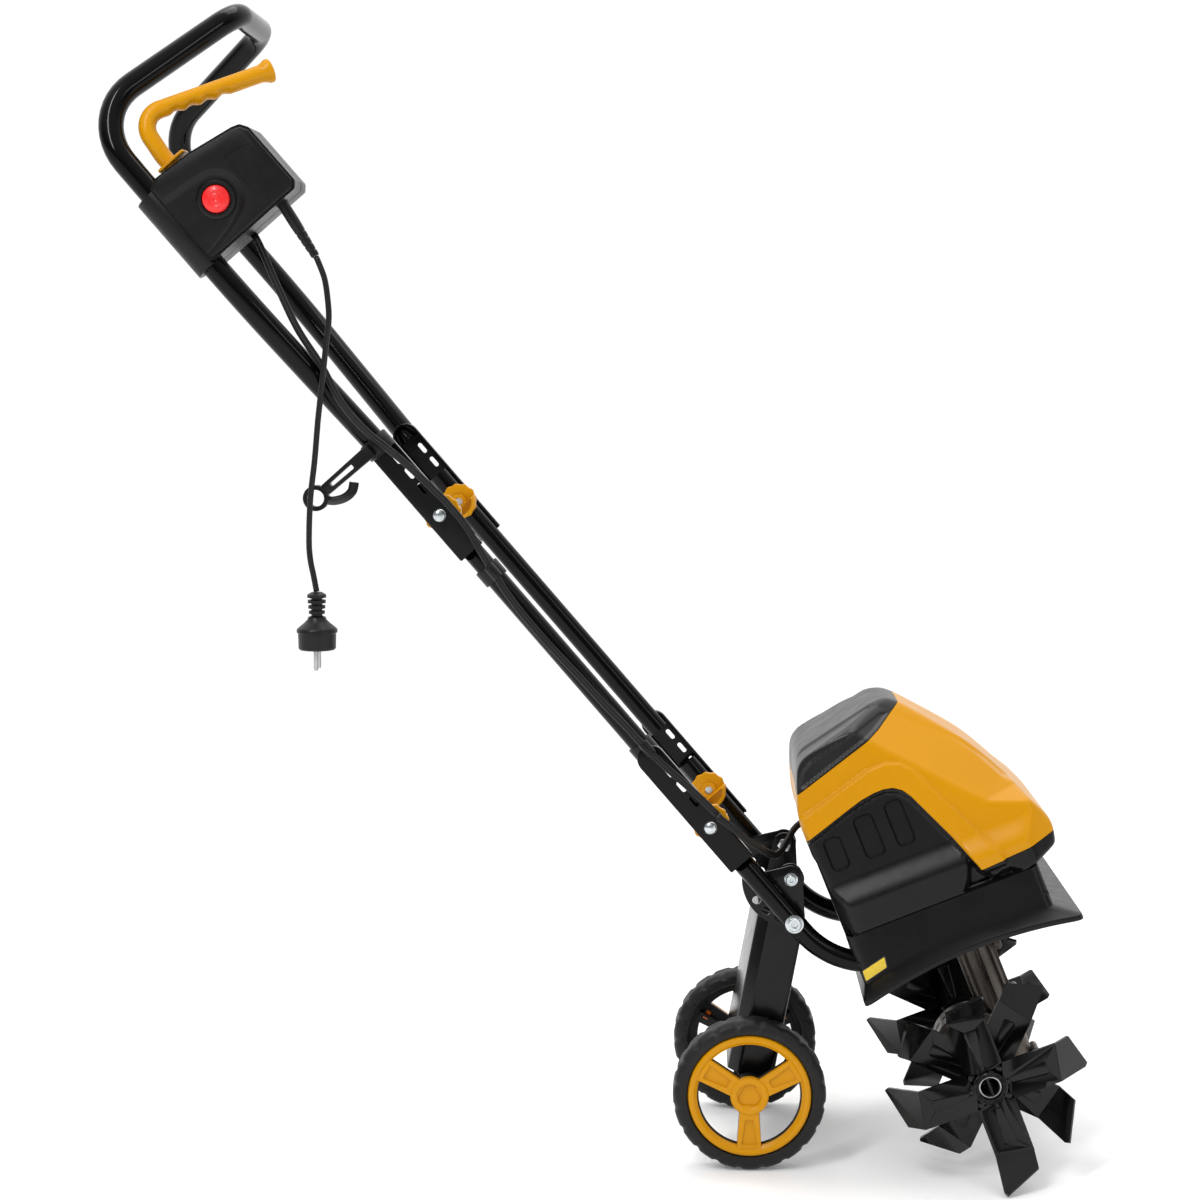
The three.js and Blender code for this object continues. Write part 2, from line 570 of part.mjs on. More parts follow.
function addLever() {
  const corners = [
    [LEVER_PIVOT.x, LEVER.y, LEVER_PIVOT.z], [31, LEVER.y, 1000], [37, LEVER.y, 1048],
    [160, -113, 1007],
  ];
  const bar = pipe(corners, [60, 20], LEVER.radius, 10, 4);
  const hub = rodY(10, LEVER.y - 9, LEVER.y + 9, LEVER_PIVOT.x, LEVER_PIVOT.z, 16);
  const collar = box([19, LEVER.y - 15, LEVER.collar - 1.5], [52, LEVER.y + 15, LEVER.collar + 1.5]);
  const flare = new THREE.CylinderGeometry(12, 9, 14, 12).rotateZ(-Math.PI / 2);
  flare.rotateY(radians(18)).rotateZ(radians(22)).translate(160, -113, 1007);
  const stubs = rodY(3, LEVER.y - 13, LEVER.y + 13, LEVER_PIVOT.x, LEVER_PIVOT.z, 12);
  addPart(handleLine, 'switch_lever', geometryOf(joined(bar, hub, collar, flare, stubs)), 'yellow_plastic');
}

// ---------------------------------------------------------------- leads
const RELIEF = { x: 91.3, y: -171, radius: 5.8, length: 66 };
const MOTOR_CABLE = { x: 47, y: -147, radius: 3 };

// The mains lead hangs from the box, in the machine's own axes.
const CORD_ROUTE = [
  [-434.6, -171, 944.6], [-432, -172, 939], [-426, -174, 923], [-423, -175, 903], [-422, -176, 883],
  [-425, -176, 859], [-429, -176, 824], [-434, -175, 785], [-438, -174, 745], [-443, -173, 705],
  [-445, -172, 665], [-444, -172, 645], [-441, -172, 629], [-438.5, -172, 615], [-438, -172, 612.4],
];

function strainRelief() {
  const { radius, length } = RELIEF;
  const profile = [[0, 0], [4.2, 0], [radius, 36], [radius, length], [0, length]];
  const points = profile.map(([r, h]) => new THREE.Vector2(r, h));
  return new THREE.LatheGeometry(points, 12);
}

function addMainsLead() {
  const [tip, next] = [vec(...CORD_ROUTE[0]), vec(...CORD_ROUTE[1])];
  const relief = strainRelief();
  const up = tip.clone().sub(next).normalize();
  const turn = new THREE.Quaternion().setFromUnitVectors(vec(0, 1, 0), vec(-0.53, 0, 0.848));
  relief.applyQuaternion(turn).translate(tip.x + up.x * GAP * 3, tip.y, tip.z + up.z * GAP * 3);
  addPart(machine, 'strain_relief', relief, 'rubber');
  addPart(machine, 'mains_cord', cable(CORD_ROUTE, CORD_RADIUS, 14), 'rubber');

  const end = CORD_ROUTE[CORD_ROUTE.length - 1];
  const top = end[2] - 2 * GAP;
  const body = [[0, 0], [9, -1], [8, -24], [20.5, -38], [20.5, -42], [18.8, -43], [18.8, -59], [0, -59]];
  const points = body.map(([r, h]) => new THREE.Vector2(r, h)).reverse();
  const plug = new THREE.LatheGeometry(points, 16).rotateX(Math.PI / 2).translate(end[0], end[1], top);
  const pins = [-9.5, 9.5].map((y) => rodZ(2.4, top - 78, top - 58, end[0], end[1] + y, 10));
  addPart(machine, 'mains_plug', geometryOf(joined(plug, ...pins)), 'rubber');
}

// The two-core lead from the switch to the motor, clipped along the right-hand tubes.
const CABLE_UPPER = [
  [47, -147, 889], [44, -147, 876], [33, -152, 840], [20, -161, 790], [14, -165, 745], [6, -166, 712],
  [3, -159, 685], [4, -151.5, 662], [7, -149.5, 645], [10, -143, 625], [12, -136, 602], [14, -132, 575],
  [15, -131, 560],
];
const CABLE_MIDDLE = [
  [15, -131, 554], [14, -130, 530], [9, -129, 505], [4, -125.5, 480], [-1, -124.5, 440], [-2, -124.5, 391],
  [0, -124.5, 340], [1, -124.5, 300], [3, -126, 270], [4, -128, 240], [7, -129, 210], [12, -131, 175],
  [15, -131, 140],
];
const CABLE_LOWER = [
  [-31, -131, 375], [-18, -131, 365], [-7, -129, 355], [6, -123, 345], [17, -113, 337], [25, -101, 332],
  [31, -90, 333], [38, -81, 342], [46, -76, 355], [54, -74, 361.6], [61, -74, 364.5],
];

function addMotorCables() {
  addPart(handleLine, 'motor_cable_upper', cable(CABLE_UPPER, MOTOR_CABLE.radius, 14), 'rubber');
  addPart(handleLine, 'motor_cable_middle', cable(CABLE_MIDDLE, MOTOR_CABLE.radius, 16), 'rubber');
  addPart(machine, 'motor_cable_lower', cable(CABLE_LOWER, MOTOR_CABLE.radius, 12), 'rubber');
}

// The lead holder: a clip round the tube, a slotted arm, a ring and a hook.
const HOLDER = { along: 651, y0: -153, y1: -140, ringAt: -80, ringOuter: 13, ringInner: 8.5 };

function addCordHook() {
  const { along: at, y0, y1, ringAt, ringOuter, ringInner } = HOLDER;
  const splay = (HANDLE.splayY - HANDLE.startY) / (HANDLE.splay - TUBE_START);
  const tubeY = -(HANDLE.startY + (at - UPPER_FOLD - TUBE_START) * splay);
  const band = rodZ(HANDLE_TUBE_RADIUS + 3.4, at - 9, at + 9, 0, tubeY, 16);
  const arm = shapeOf([[-6, at - 7], [-6, at + 7], [ringAt + 12, at + 6], [ringAt + 12, at - 6]]);
  arm.holes.push(shapeOf([[-30, at - 2.5], [-30, at + 2.5], [-60, at + 2], [-60, at - 2]]));
  const ring = ringY([[ringInner, y0], [ringOuter, y0], [ringOuter, y1], [ringInner, y1]], 16, ringAt, at);
  const hook = plateXZ([
    [ringAt + 2, at - 11], [-66, at - 17], [-58, at - 21], [-48, at - 21], [-39, at - 15],
    [-42, at - 11], [-49, at - 16.5], [-57, at - 16.5], [-63, at - 12], [ringAt + 11, at - 4],
  ], y0 + 1, y1 - 1);
  let holder = joined(band, plateXZ(arm, y0 + 0.5, y1 - 0.5), ring, hook);
  const socket = box([-CHANNEL.half - 1, -CHANNEL.outer - 0.5, at - 40], [CHANNEL.half + 1, 0, at + 40]);
  holder = holder.subtract(solid(handlePipe(HANDLE_TUBE_RADIUS + GAP))).subtract(solid(socket));
  addPart(handleLine, 'cord_hook', geometryOf(holder), 'black_plastic');
}

// ---------------------------------------------------------------- motor covers
const COVER = { half: 126, rear: -81, seam: 189.3, wall: 3.5 };
const sideProfile = [
  [-81, 189.3], [123, 189.3], [156, 197], [161, 214], [160, 230], [150, 250], [137, 281], [103, 338],
  [68, 378], [60, 388], [49, 395], [32, 397.5], [11, 393], [-53, 379], [-67, 366], [-74, 343], [-81, 326],
];
const frontProfile = [
  [-126, 185], [126, 185], [126, 204], [123, 216], [114, 234], [112, 245], [97, 372], [92, 388], [80, 398],
  [-80, 398], [-92, 388], [-97, 372], [-112, 245], [-114, 234], [-123, 216], [-126, 204],
];
const planProfile = [
  [-81, -112], [-70, -126], [130, -126], [161, -100], [161, 100], [130, 126], [-70, 126], [-81, 112],
];
const housingRegion = [
  [-90, 180], [-90, 293], [-82, 294.5], [-27, 311], [10, 317], [24, 314], [34, 302], [58, 248],
  [74, 206], [175, 211.5], [175, 180],
];
const capRegion = [[-90, 333], [-74, 342], [29.7, 372], [62.6, 386.7], [75, 396], [75, 420], [-90, 420]];

// Moves an outline's points towards its middle by about the given distance.
function shrunk(outline, distance) {
  const xs = outline.map((p) => p[0]);
  const zs = outline.map((p) => p[1]);
  const middle = [(Math.min(...xs) + Math.max(...xs)) / 2, (Math.min(...zs) + Math.max(...zs)) / 2];
  const halves = [(Math.max(...xs) - Math.min(...xs)) / 2, (Math.max(...zs) - Math.min(...zs)) / 2];
  const drawnIn = (value, i) => middle[i] + (value - middle[i]) * (1 - distance / halves[i]);
  return outline.map((point) => point.map(drawnIn));
}

function coverBlock(inset) {
  const side = solid(plateXZ(shrunk(sideProfile, inset), -200, 200));
  const front = solid(plateYZ(shrunk(frontProfile, inset), -200, 200));
  const plan = solid(plateXY(shrunk(planProfile, inset), 100, 500));
  return side.intersect(front).intersect(plan);
}

function region(outline, dx = 0, dz = 0) {
  return solid(plateXZ(outline.map(([x, z]) => [x + dx, z + dz]), -300, 300));
}

function addMotorCovers() {
  const open = solid(box([-76, -121, 150], [118, 121, 195]));
  const shell = coverBlock(0).subtract(coverBlock(COVER.wall)).subtract(open);
  const cableEntry = solid(rodZ(5, -12, 12, 0, 0, 12).rotateY(radians(90)).translate(-80, -74, 309));
  const housing = shell.intersect(region(housingRegion));
  addPart(motorLine, 'motor_housing', geometryOf(housing), 'black_plastic');
  const cap = shell.intersect(region(capRegion));
  addPart(motorLine, 'hood_cap', geometryOf(cap), 'black_plastic');
  const hood = shell.subtract(region(housingRegion)).subtract(region(housingRegion, 0.5, 0.5))
    .subtract(region(capRegion)).subtract(region(capRegion, 0, -0.5)).subtract(cableEntry);
  addPart(motorLine, 'hood_cover', geometryOf(hood), 'yellow_plastic');
}

// ---------------------------------------------------------------- tine guard
const GUARD = { top: 188.8, foot: 152, rear: -81, front: 130, half: 126, brimHalf: 150, lip: 6, wall: 3 };
const floorZ = 157;

// Height of the guard's lower edge at a place along the machine.
function guardArch(x) {
  return 143 - 0.001 * (x - 42) ** 2;
}

// One ring of points round a rectangle with cut corners, evenly matched from ring to ring.
function guardRing(rear, front, half, height, corner = 8) {
  const points = [];
  const along = 7;
  for (let i = 0; i <= along; i += 1) {
    points.push([rear + corner + ((front - rear - 2 * corner) * i) / along, -half]);
  }
  points.push([front, -half + corner], [front, half - corner]);
  for (let i = 0; i <= along; i += 1) {
    points.push([front - corner - ((front - rear - 2 * corner) * i) / along, half]);
  }
  points.push([rear, half - corner], [rear, -half + corner]);
  return points.map(([x, y]) => vec(x, y, height(x)));
}

// A closed skin through rings of matched points that starts and ends on the same ring.
function skinOfRings(rings) {
  const positions = rings.flatMap((ring) => ring.flatMap((p) => [p.x, p.y, p.z]));
  const count = rings[0].length;
  const faces = [];
  for (let r = 0; r < rings.length; r += 1) {
    const next = (r + 1) % rings.length;
    for (let i = 0; i < count; i += 1) {
      const j = (i + 1) % count;
      const [a, b, c, d] = [r * count + i, r * count + j, next * count + j, next * count + i];
      faces.push(a, b, c, a, c, d);
    }
  }
  const geometry = new THREE.BufferGeometry();
  geometry.setAttribute('position', new THREE.BufferAttribute(new Float32Array(positions), 3));
  geometry.setIndex(faces);
  return geometry;
}

function addTineGuard() {
  const g = GUARD;
  const level = (z) => () => z;
  const rings = [
    guardRing(g.rear, g.front, g.half, level(g.top)),
    guardRing(g.rear + g.wall, g.front - g.wall, g.half - g.wall, level(g.top)),
    guardRing(g.rear + g.wall, g.front - g.wall, g.half - g.wall, level(g.foot)),
    guardRing(g.rear - 4, 149, g.brimHalf - g.wall, (x) => guardArch(x) - 1),
    guardRing(g.rear - 4, 149, g.brimHalf - g.wall, (x) => guardArch(x) - g.lip),
    guardRing(g.rear - 7, 152, g.brimHalf, (x) => guardArch(x) - g.lip),
    guardRing(g.rear - 7, 152, g.brimHalf, (x) => guardArch(x)),
    guardRing(g.rear, g.front, g.half, level(g.foot + 3)),
  ];
  const skirt = solid(skinOfRings(rings));
  const floor = solid(box([g.rear + 1, -g.half + 1, floorZ], [g.front - 1, g.half - 1, floorZ + 3]));
  const gearHole = solid(rodZ(26, floorZ - 5, floorZ + 8, WORM_OFFSET, 0, 24));
  const guard = cutForFrame(skirt.add(floor).subtract(gearHole));
  addPart(motorLine, 'tine_guard', geometryOf(guard), 'black_plastic');
}

// Leaves room in a motor-side piece for the frame tubes that pass through its rear wall.
function cutForFrame(body) {
  const toMotor = new THREE.Matrix4().makeRotationY(radians(MOTOR_TILT));
  toMotor.multiply(new THREE.Matrix4().makeTranslation(-TINE_AXIS[0], 0, -TINE_AXIS[1]));
  const tube = solid(frameTube(FRAME_TUBE_RADIUS + 1).applyMatrix4(toMotor));
  return body.subtract(tube).subtract(tube.mirror([0, 1, 0]));
}

// ---------------------------------------------------------------- gear case and gearing
const CASE = { column: 21, wheelRoom: 42, half: 21, foot: -44, top: 156.7, split: 0.15 };

function gearCaseHalf() {
  const round = rodY(CASE.wheelRoom, -CASE.half, CASE.half, 0, 0, 22);
  const column = rodZ(CASE.column, CASE.foot, CASE.top, WORM_OFFSET, 0, 18);
  const flange = rodZ(32, CASE.top - 6, CASE.top, WORM_OFFSET, 0, 18);
  const rib = box([WORM_OFFSET + CASE.column - 3, -4, 20], [WORM_OFFSET + CASE.column + 7, 4, CASE.top - 3]);
  let body = joined(round, column, flange, rib);
  const cuts = [
    rodY(34, -9, 9, 0, 0, 20),
    rodZ(15.5, -34, CASE.top + 1, WORM_OFFSET, 0, 16),
    rodY(BEARING.outer + 0.6, -CASE.half - 1, CASE.half + 1, 0, 0, 16),
  ];
  for (const cut of cuts) body = body.subtract(solid(cut));
  const keep = box([-80, -60, -80], [120, -CASE.split, 200]);
  return geometryOf(body.intersect(solid(keep)));
}

const BEARING = { outer: 20, y0: 10.5, y1: 20.5 };
const WORM = { core: 9, tip: 13.6, from: -13, to: 13 };
const GEAR = { root: 25.4, tip: 29.6, half: 6 };
const PITCH_RADIUS = 28;
const AXIAL_PITCH = (2 * Math.PI * PITCH_RADIUS) / WHEEL_TEETH;
const WORM_PITCH_RADIUS = WORM_OFFSET - PITCH_RADIUS;
const WORM_LEAD = AXIAL_PITCH * WORM_LEAD_STARTS;

// A worm thread as a ridge along a helix, one pass per start.
function wormThread(start) {
  const turns = (WORM.to - WORM.from) / WORM_LEAD;
  const steps = Math.round(turns * 8);
  const rings = [];
  const positions = [];
  for (let i = 0; i <= steps; i += 1) {
    const z = WORM.from + (i / steps) * (WORM.to - WORM.from);
    const angle = Math.PI + (2 * Math.PI * z) / WORM_LEAD + (2 * Math.PI * start) / WORM_LEAD_STARTS;
    const section = [[WORM.core - 1, -1.9], [WORM.tip, -0.7], [WORM.tip, 0.7], [WORM.core - 1, 1.9]];
    rings.push(section.map(([r, h]) => positions.push(r * Math.cos(angle), r * Math.sin(angle), z + h)));
  }
  const faces = [];
  for (let i = 0; i < steps; i += 1) {
    for (let k = 0; k < 4; k += 1) {
      const [a, b] = [i * 4 + k, i * 4 + ((k + 1) % 4)];
      faces.push(a, b + 4, b, a, a + 4, b + 4);
    }
  }
  const end = steps * 4;
  faces.push(0, 1, 2, 0, 2, 3, end, end + 2, end + 1, end, end + 3, end + 2);
  const geometry = new THREE.BufferGeometry();
  geometry.setAttribute('position', new THREE.BufferAttribute(new Float32Array(positions), 3));
  geometry.setIndex(faces);
  return geometry;
}

function wormShaft() {
  let body = solid(rodZ(6, -30, 150, 0, 0, 12)).add(solid(rodZ(WORM.core, -18, 18, 0, 0, 14)));
  for (let start = 0; start < WORM_LEAD_STARTS; start += 1) body = body.add(solid(wormThread(start)));
  return geometryOf(body).translate(WORM_OFFSET, 0, 0);
}

// The worm wheel: slanted teeth, each a straight-sided block that narrows to its tip.
function wormWheel() {
  const outline = [];
  for (let tooth = 0; tooth < WHEEL_TEETH; tooth += 1) {
    const middle = (2 * Math.PI * (tooth + 0.5)) / WHEEL_TEETH;
    const marks = [[GEAR.root, -0.068], [GEAR.tip, -0.026], [GEAR.tip, 0.026], [GEAR.root, 0.068]];
    for (const [r, a] of marks) outline.push([r * Math.cos(middle + a), r * Math.sin(middle + a)]);
  }
  const gear = plateXZ(outline, -GEAR.half, GEAR.half);
  const lean = Math.tan(Math.atan2(WORM_LEAD, 2 * Math.PI * WORM_PITCH_RADIUS)) / PITCH_RADIUS;
  const place = gear.attributes.position;
  for (let i = 0; i < place.count; i += 1) {
    const angle = lean * place.getY(i);
    const [x, z] = [place.getX(i), place.getZ(i)];
    place.setX(i, x * Math.cos(angle) + z * Math.sin(angle));
    place.setZ(i, -x * Math.sin(angle) + z * Math.cos(angle));
  }
  const bore = rodY(TINE_SHAFT_RADIUS + GAP, -20, 20, 0, 0, 20);
  return geometryOf(solid(gear).subtract(solid(bore)));
}

function addGearbox() {
  const half = gearCaseHalf();
  for (const side of [-1, 1]) {
    addPart(motorLine, `gear_case_${sideName(side)}`, mirrored(half, side), 'cast_metal');
    const { outer, y0, y1 } = BEARING;
    const inner = TINE_SHAFT_RADIUS + GAP;
    const race = ringY([[inner, y0], [outer, y0], [outer, y1], [inner, y1]], 16);
    if (side < 0) race.translate(0, -y0 - y1, 0);
    addPart(motorLine, `tine_bearing_${sideName(side)}`, race, 'steel');
  }
  addPart(motorLine, 'worm_shaft', wormShaft(), 'steel');
  addPart(motorLine, 'worm_wheel', wormWheel(), 'copper');
}

// ---------------------------------------------------------------- motor
const MOTOR = { outer: 47.5, inner: 30, from: 206, to: 278, shaft: 6 };

function addMotor() {
  const x = WORM_OFFSET;
  const stator = ringZ([[MOTOR.inner, MOTOR.from], [MOTOR.outer, MOTOR.from], [MOTOR.outer, MOTOR.to],
    [MOTOR.inner, MOTOR.to]], 22, x, 0);
  addPart(motorLine, 'motor_stator', stator, 'steel');
  const floor = floorZ + 3 + GAP;
  const bell = ringZ([
    [17, floor], [56, floor], [56, floor + 6], [46, MOTOR.from - GAP], [42, MOTOR.from - GAP],
    [50, floor + 5], [22, floor + 5], [22, floor + 18], [17, floor + 18]], 20, x, 0);
  addPart(motorLine, 'motor_end_bell', bell, 'cast_metal');
  const bearing = ringZ([
    [MOTOR.shaft + GAP, floor + 2], [17 - GAP, floor + 2], [17 - GAP, floor + 14],
    [MOTOR.shaft + GAP, floor + 14]], 14, x, 0);
  addPart(motorLine, 'motor_bearing', bearing, 'steel');
  const motorShaft = rodZ(MOTOR.shaft, 150 + GAP, 340, x, 0, 12);
  const windings = rodZ(28.5, 204, 280, x, 0, 20);
  const commutator = rodZ(16, 280, 310, x, 0, 14);
  const core = joined(motorShaft, windings, commutator);
  addPart(motorLine, 'motor_armature', geometryOf(core), 'copper');
  addPart(motorLine, 'cooling_fan', coolingFan(), 'black_plastic');
}

function coolingFan() {
  let fan = solid(rodZ(48, 318, 321, 0, 0, 22)).add(solid(rodZ(12, 316, 334, 0, 0, 14)));
  const blades = 7;
  for (let i = 0; i < blades; i += 1) {
    const blade = box([10, -1, 320], [46, 1, 334]).rotateZ((2 * Math.PI * i) / blades);
    fan = fan.add(solid(blade));
  }
  fan = fan.subtract(solid(rodZ(MOTOR.shaft + GAP, 300, 350, 0, 0, 16)));
  return geometryOf(fan).translate(WORM_OFFSET, 0, 0);
}

// ---------------------------------------------------------------- tines
const TINE = { sheet: 3, half: 19, crease: 70, bend: 48, hub: 17, hubHalf: 9, arms: 4 };
const OUTER_TINE_Y = 155;
const INNER_TINE_Y = 110;

// One blade along +X: a flat arm and a pointed tip folded out of its plane.
function tineBlade(outward) {
  const { sheet, half, crease } = TINE;
  const arm = plateXZ([[0, -half], [crease, -half], [crease + 7, half], [0, half]], -sheet / 2, sheet / 2);
  const outline = [[-1.2, -half], [43, -half], [47.5, -half + 3], [23, half], [-1.2, half]];
  const tip = plateXZ(outline, -sheet / 2, sheet / 2);
  tip.rotateZ(outward * radians(TINE.bend));
  const lean = Math.atan2(7, 2 * half);
  tip.rotateY(lean).translate(crease + 3.5, 0, 0);
  return solid(arm).add(solid(tip));
}

function tineStar(y, turn, side) {
  let star = solid(rodY(TINE.hub, -TINE.hubHalf, TINE.hubHalf, 0, 0, 16));
  for (let i = 0; i < TINE.arms; i += 1) {
    const outward = i % 2 === 0 ? 1 : -1;
    const angle = -(turn + (2 * Math.PI * i) / TINE.arms);
    const blade = tineBlade(outward);
    star = star.add(blade.rotate([0, THREE.MathUtils.radToDeg(angle), 0]));
  }
  star = star.subtract(solid(rodY(TINE_SHAFT_RADIUS + 0.5, -30, 30, 0, 0, 16)));
  if (y === OUTER_TINE_Y) star = star.subtract(solid(rodZ(2.5 + GAP, -40, 40, 0, 0, 8)));
  return geometryOf(side < 0 ? star : star.mirror([0, 1, 0])).translate(0, side * y, 0);
}

function addTines() {
  const reach = OUTER_TINE_Y + 3;
  const outside = TINE_SHAFT_RADIUS;
  let shaft = solid(ringY([[8, -reach], [outside, -reach], [outside, reach], [8, reach]], 16));
  for (const side of [-1, 1]) {
    const name = sideName(side);
    const pinHole = rodZ(2.5 + GAP, -30, 30, 0, side * OUTER_TINE_Y, 8);
    shaft = shaft.subtract(solid(pinHole));
    const outerTurn = radians(side < 0 ? 21 - MOTOR_TILT : 66 - MOTOR_TILT);
    addPart(motorLine, `outer_tine_${name}`, tineStar(OUTER_TINE_Y, outerTurn, side), 'tine_steel');
    const inner = tineStar(INNER_TINE_Y, outerTurn + Math.PI / 4, side);
    addPart(motorLine, `inner_tine_${name}`, inner, 'tine_steel');
    addPart(motorLine, `tine_pin_${name}`, rodZ(2.5, -24, 24, 0, side * OUTER_TINE_Y, 8), 'zinc');
  }
  addPart(motorLine, 'tine_shaft', geometryOf(shaft), 'steel');
}

// ---------------------------------------------------------------- assembly
addFrameTubes();
addPart(armLine, 'wheel_arm', wheelArm(), 'satin_black');
for (const side of [-1, 1]) {
  addWheelArmMount(side);
  addFoldHardware(side);
}
addWheels();
addMidTubes();
addHandleTube();
addSwitchBox();
addLever();
addMainsLead();
addMotorCables();
addCordHook();
addMotorCovers();
addTineGuard();
addGearbox();
addMotor();
addTines();

export default tiller;
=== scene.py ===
"""Looks for the garden tiller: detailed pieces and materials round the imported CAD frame."""
import json
import math

import bmesh
import bpy
import numpy as np
from mathutils import Matrix, Vector


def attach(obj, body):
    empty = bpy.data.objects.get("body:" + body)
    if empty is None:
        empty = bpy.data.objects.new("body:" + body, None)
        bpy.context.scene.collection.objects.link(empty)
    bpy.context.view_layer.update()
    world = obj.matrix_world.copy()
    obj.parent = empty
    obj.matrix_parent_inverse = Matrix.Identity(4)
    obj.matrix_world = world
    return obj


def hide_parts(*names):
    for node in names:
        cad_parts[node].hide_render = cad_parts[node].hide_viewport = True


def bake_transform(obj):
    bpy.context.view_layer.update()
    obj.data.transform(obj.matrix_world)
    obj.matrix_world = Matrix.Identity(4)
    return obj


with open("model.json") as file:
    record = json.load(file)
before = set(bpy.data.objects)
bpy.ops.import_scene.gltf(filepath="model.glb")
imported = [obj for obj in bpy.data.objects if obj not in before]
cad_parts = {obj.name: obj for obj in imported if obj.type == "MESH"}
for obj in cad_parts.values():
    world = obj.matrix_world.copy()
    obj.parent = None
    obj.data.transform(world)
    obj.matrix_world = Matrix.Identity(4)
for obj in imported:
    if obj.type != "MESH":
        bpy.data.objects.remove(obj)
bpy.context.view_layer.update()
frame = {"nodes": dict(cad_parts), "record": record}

# ---- the machine's own axes
MM = 0.001
AXLE_FOOT = Vector((150.95, 5.6, 0.0))     # ground point under the middle of the axle
TUBE_SLOPE = math.radians(49.2)            # the handle line above the ground
LOCK_BOLT = (45.0, 264.0)                  # X, Z where the handle line starts
ARM_PIVOT = (42.0, 306.0)
TINE_AXIS = (244.0, 105.0)
MOTOR_TILT = math.radians(22)
WHEEL_RADIUS = 80.0
WHEEL_Y = 103.0
TUBE_Y = 109.0
LOWER_FOLD = 133.0
UPPER_FOLD = 557.0
GRIP_BEND = 1080.0
SIDES = {"right": -1, "left": 1}


def line_frame(origin, turn):
    """Matrix from a leaning line's own millimetres to the row frame's metres."""
    place = Matrix.Translation(Vector((origin[0], 0, origin[1])) + AXLE_FOOT)
    return Matrix.Scale(MM, 4) @ place @ Matrix.Rotation(turn, 4, "Y")


MACHINE = line_frame((0, 0), 0)
HANDLE = line_frame(LOCK_BOLT, TUBE_SLOPE - math.pi / 2)
MOTOR = line_frame(TINE_AXIS, -MOTOR_TILT)
ARM_LENGTH = math.hypot(ARM_PIVOT[0], ARM_PIVOT[1] - WHEEL_RADIUS)
ARM = line_frame(ARM_PIVOT, math.atan2(ARM_PIVOT[0], ARM_PIVOT[1] - WHEEL_RADIUS))
WHEEL = line_frame((0, WHEEL_RADIUS), 0)


def on_handle(across, y, along):
    return HANDLE @ Vector((across, y, along))


def on_machine(x, y, z):
    return MACHINE @ Vector((x, y, z))


# ---- camera
def add_camera():
    data = bpy.data.cameras.new("photo_camera")
    data.lens = 73.5
    data.sensor_width = 36
    data.clip_end = 50
    camera = bpy.data.objects.new("photo_camera", data)
    bpy.context.scene.collection.objects.link(camera)
    look = Vector((-0.03509, 0.99380, -0.10553))
    camera.location = on_machine(-68, -2603, 863)
    camera.rotation_euler = look.to_track_quat("-Z", "Y").to_euler()
    bpy.context.scene.camera = camera


add_camera()


# ---- mesh tools
def new_object(name, mesh):
    obj = bpy.data.objects.new(name, mesh)
    bpy.context.scene.collection.objects.link(obj)
    return obj


def mesh_object(name, points, faces, smooth=True):
    mesh = bpy.data.meshes.new(name)
    mesh.from_pydata([tuple(p) for p in points], [], faces)
    tool = bmesh.new()
    tool.from_mesh(mesh)
    bmesh.ops.recalc_face_normals(tool, faces=tool.faces)
    tool.to_mesh(mesh)
    tool.free()
    for polygon in mesh.polygons:
        polygon.use_smooth = smooth
    return new_object(name, mesh)


def apply_modifiers(obj):
    """Bakes the object's modifiers into its mesh."""
    graph = bpy.context.evaluated_depsgraph_get()
    mesh = bpy.data.meshes.new_from_object(obj.evaluated_get(graph))
    obj.modifiers.clear()
    obj.data = mesh
    return obj


def combine(obj, other, operation):
    step = obj.modifiers.new("combine", "BOOLEAN")
    step.operation = operation
    step.solver = "EXACT"
    step.object = other
    apply_modifiers(obj)
    bpy.data.objects.remove(other)
    return obj


def union(obj, *others):
    for other in others:
        combine(obj, other, "UNION")
    return obj


def cut(obj, *others):
    for other in others:
        combine(obj, other, "DIFFERENCE")
    return obj


def copy_of(obj, name="copy"):
    other = new_object(name, obj.data.copy())
    other.matrix_world = obj.matrix_world
    return other


def soften(obj, width, segments=2, angle=32):
    """Rounds an object's sharp edges and shades it smooth."""
    step = obj.modifiers.new("soften", "BEVEL")
    step.width = width
    step.segments = segments
    step.limit_method = "ANGLE"
    step.angle_limit = math.radians(angle)
    step.harden_normals = False
    apply_modifiers(obj)
    shade(obj, 40)
    return obj


def shade(obj, angle=40):
    """Smooth shading, with edges steeper than the angle kept sharp."""
    mesh = obj.data
    tool = bmesh.new()
    tool.from_mesh(mesh)
    for face in tool.faces:
        face.smooth = True
    for edge in tool.edges:
        turn = edge.calc_face_angle(0) if len(edge.link_faces) == 2 else 0
        edge.smooth = turn < math.radians(angle)
    tool.to_mesh(mesh)
    tool.free()
    return obj


def placed(obj, matrix):
    """Moves the mesh itself from a line's millimetres to the row frame."""
    obj.data.transform(matrix)
    return obj


def mirrored(obj, side):
    """Flips a piece across the middle plane for side +1, and leaves it as it is for side -1."""
    if side < 0:
        return obj
    obj.data.transform(Matrix.Scale(-1, 4, Vector((0, 1, 0))))
    obj.data.flip_normals()
    return obj


def ring_faces(rings, count, closed=False):
    """Four-sided faces between neighbouring rings of count points each."""
    faces = []
    for r in range(rings if closed else rings - 1):
        n = (r + 1) % rings
        for i in range(count):
            j = (i + 1) % count
            faces.append([r * count + i, r * count + j, n * count + j, n * count + i])
    return faces


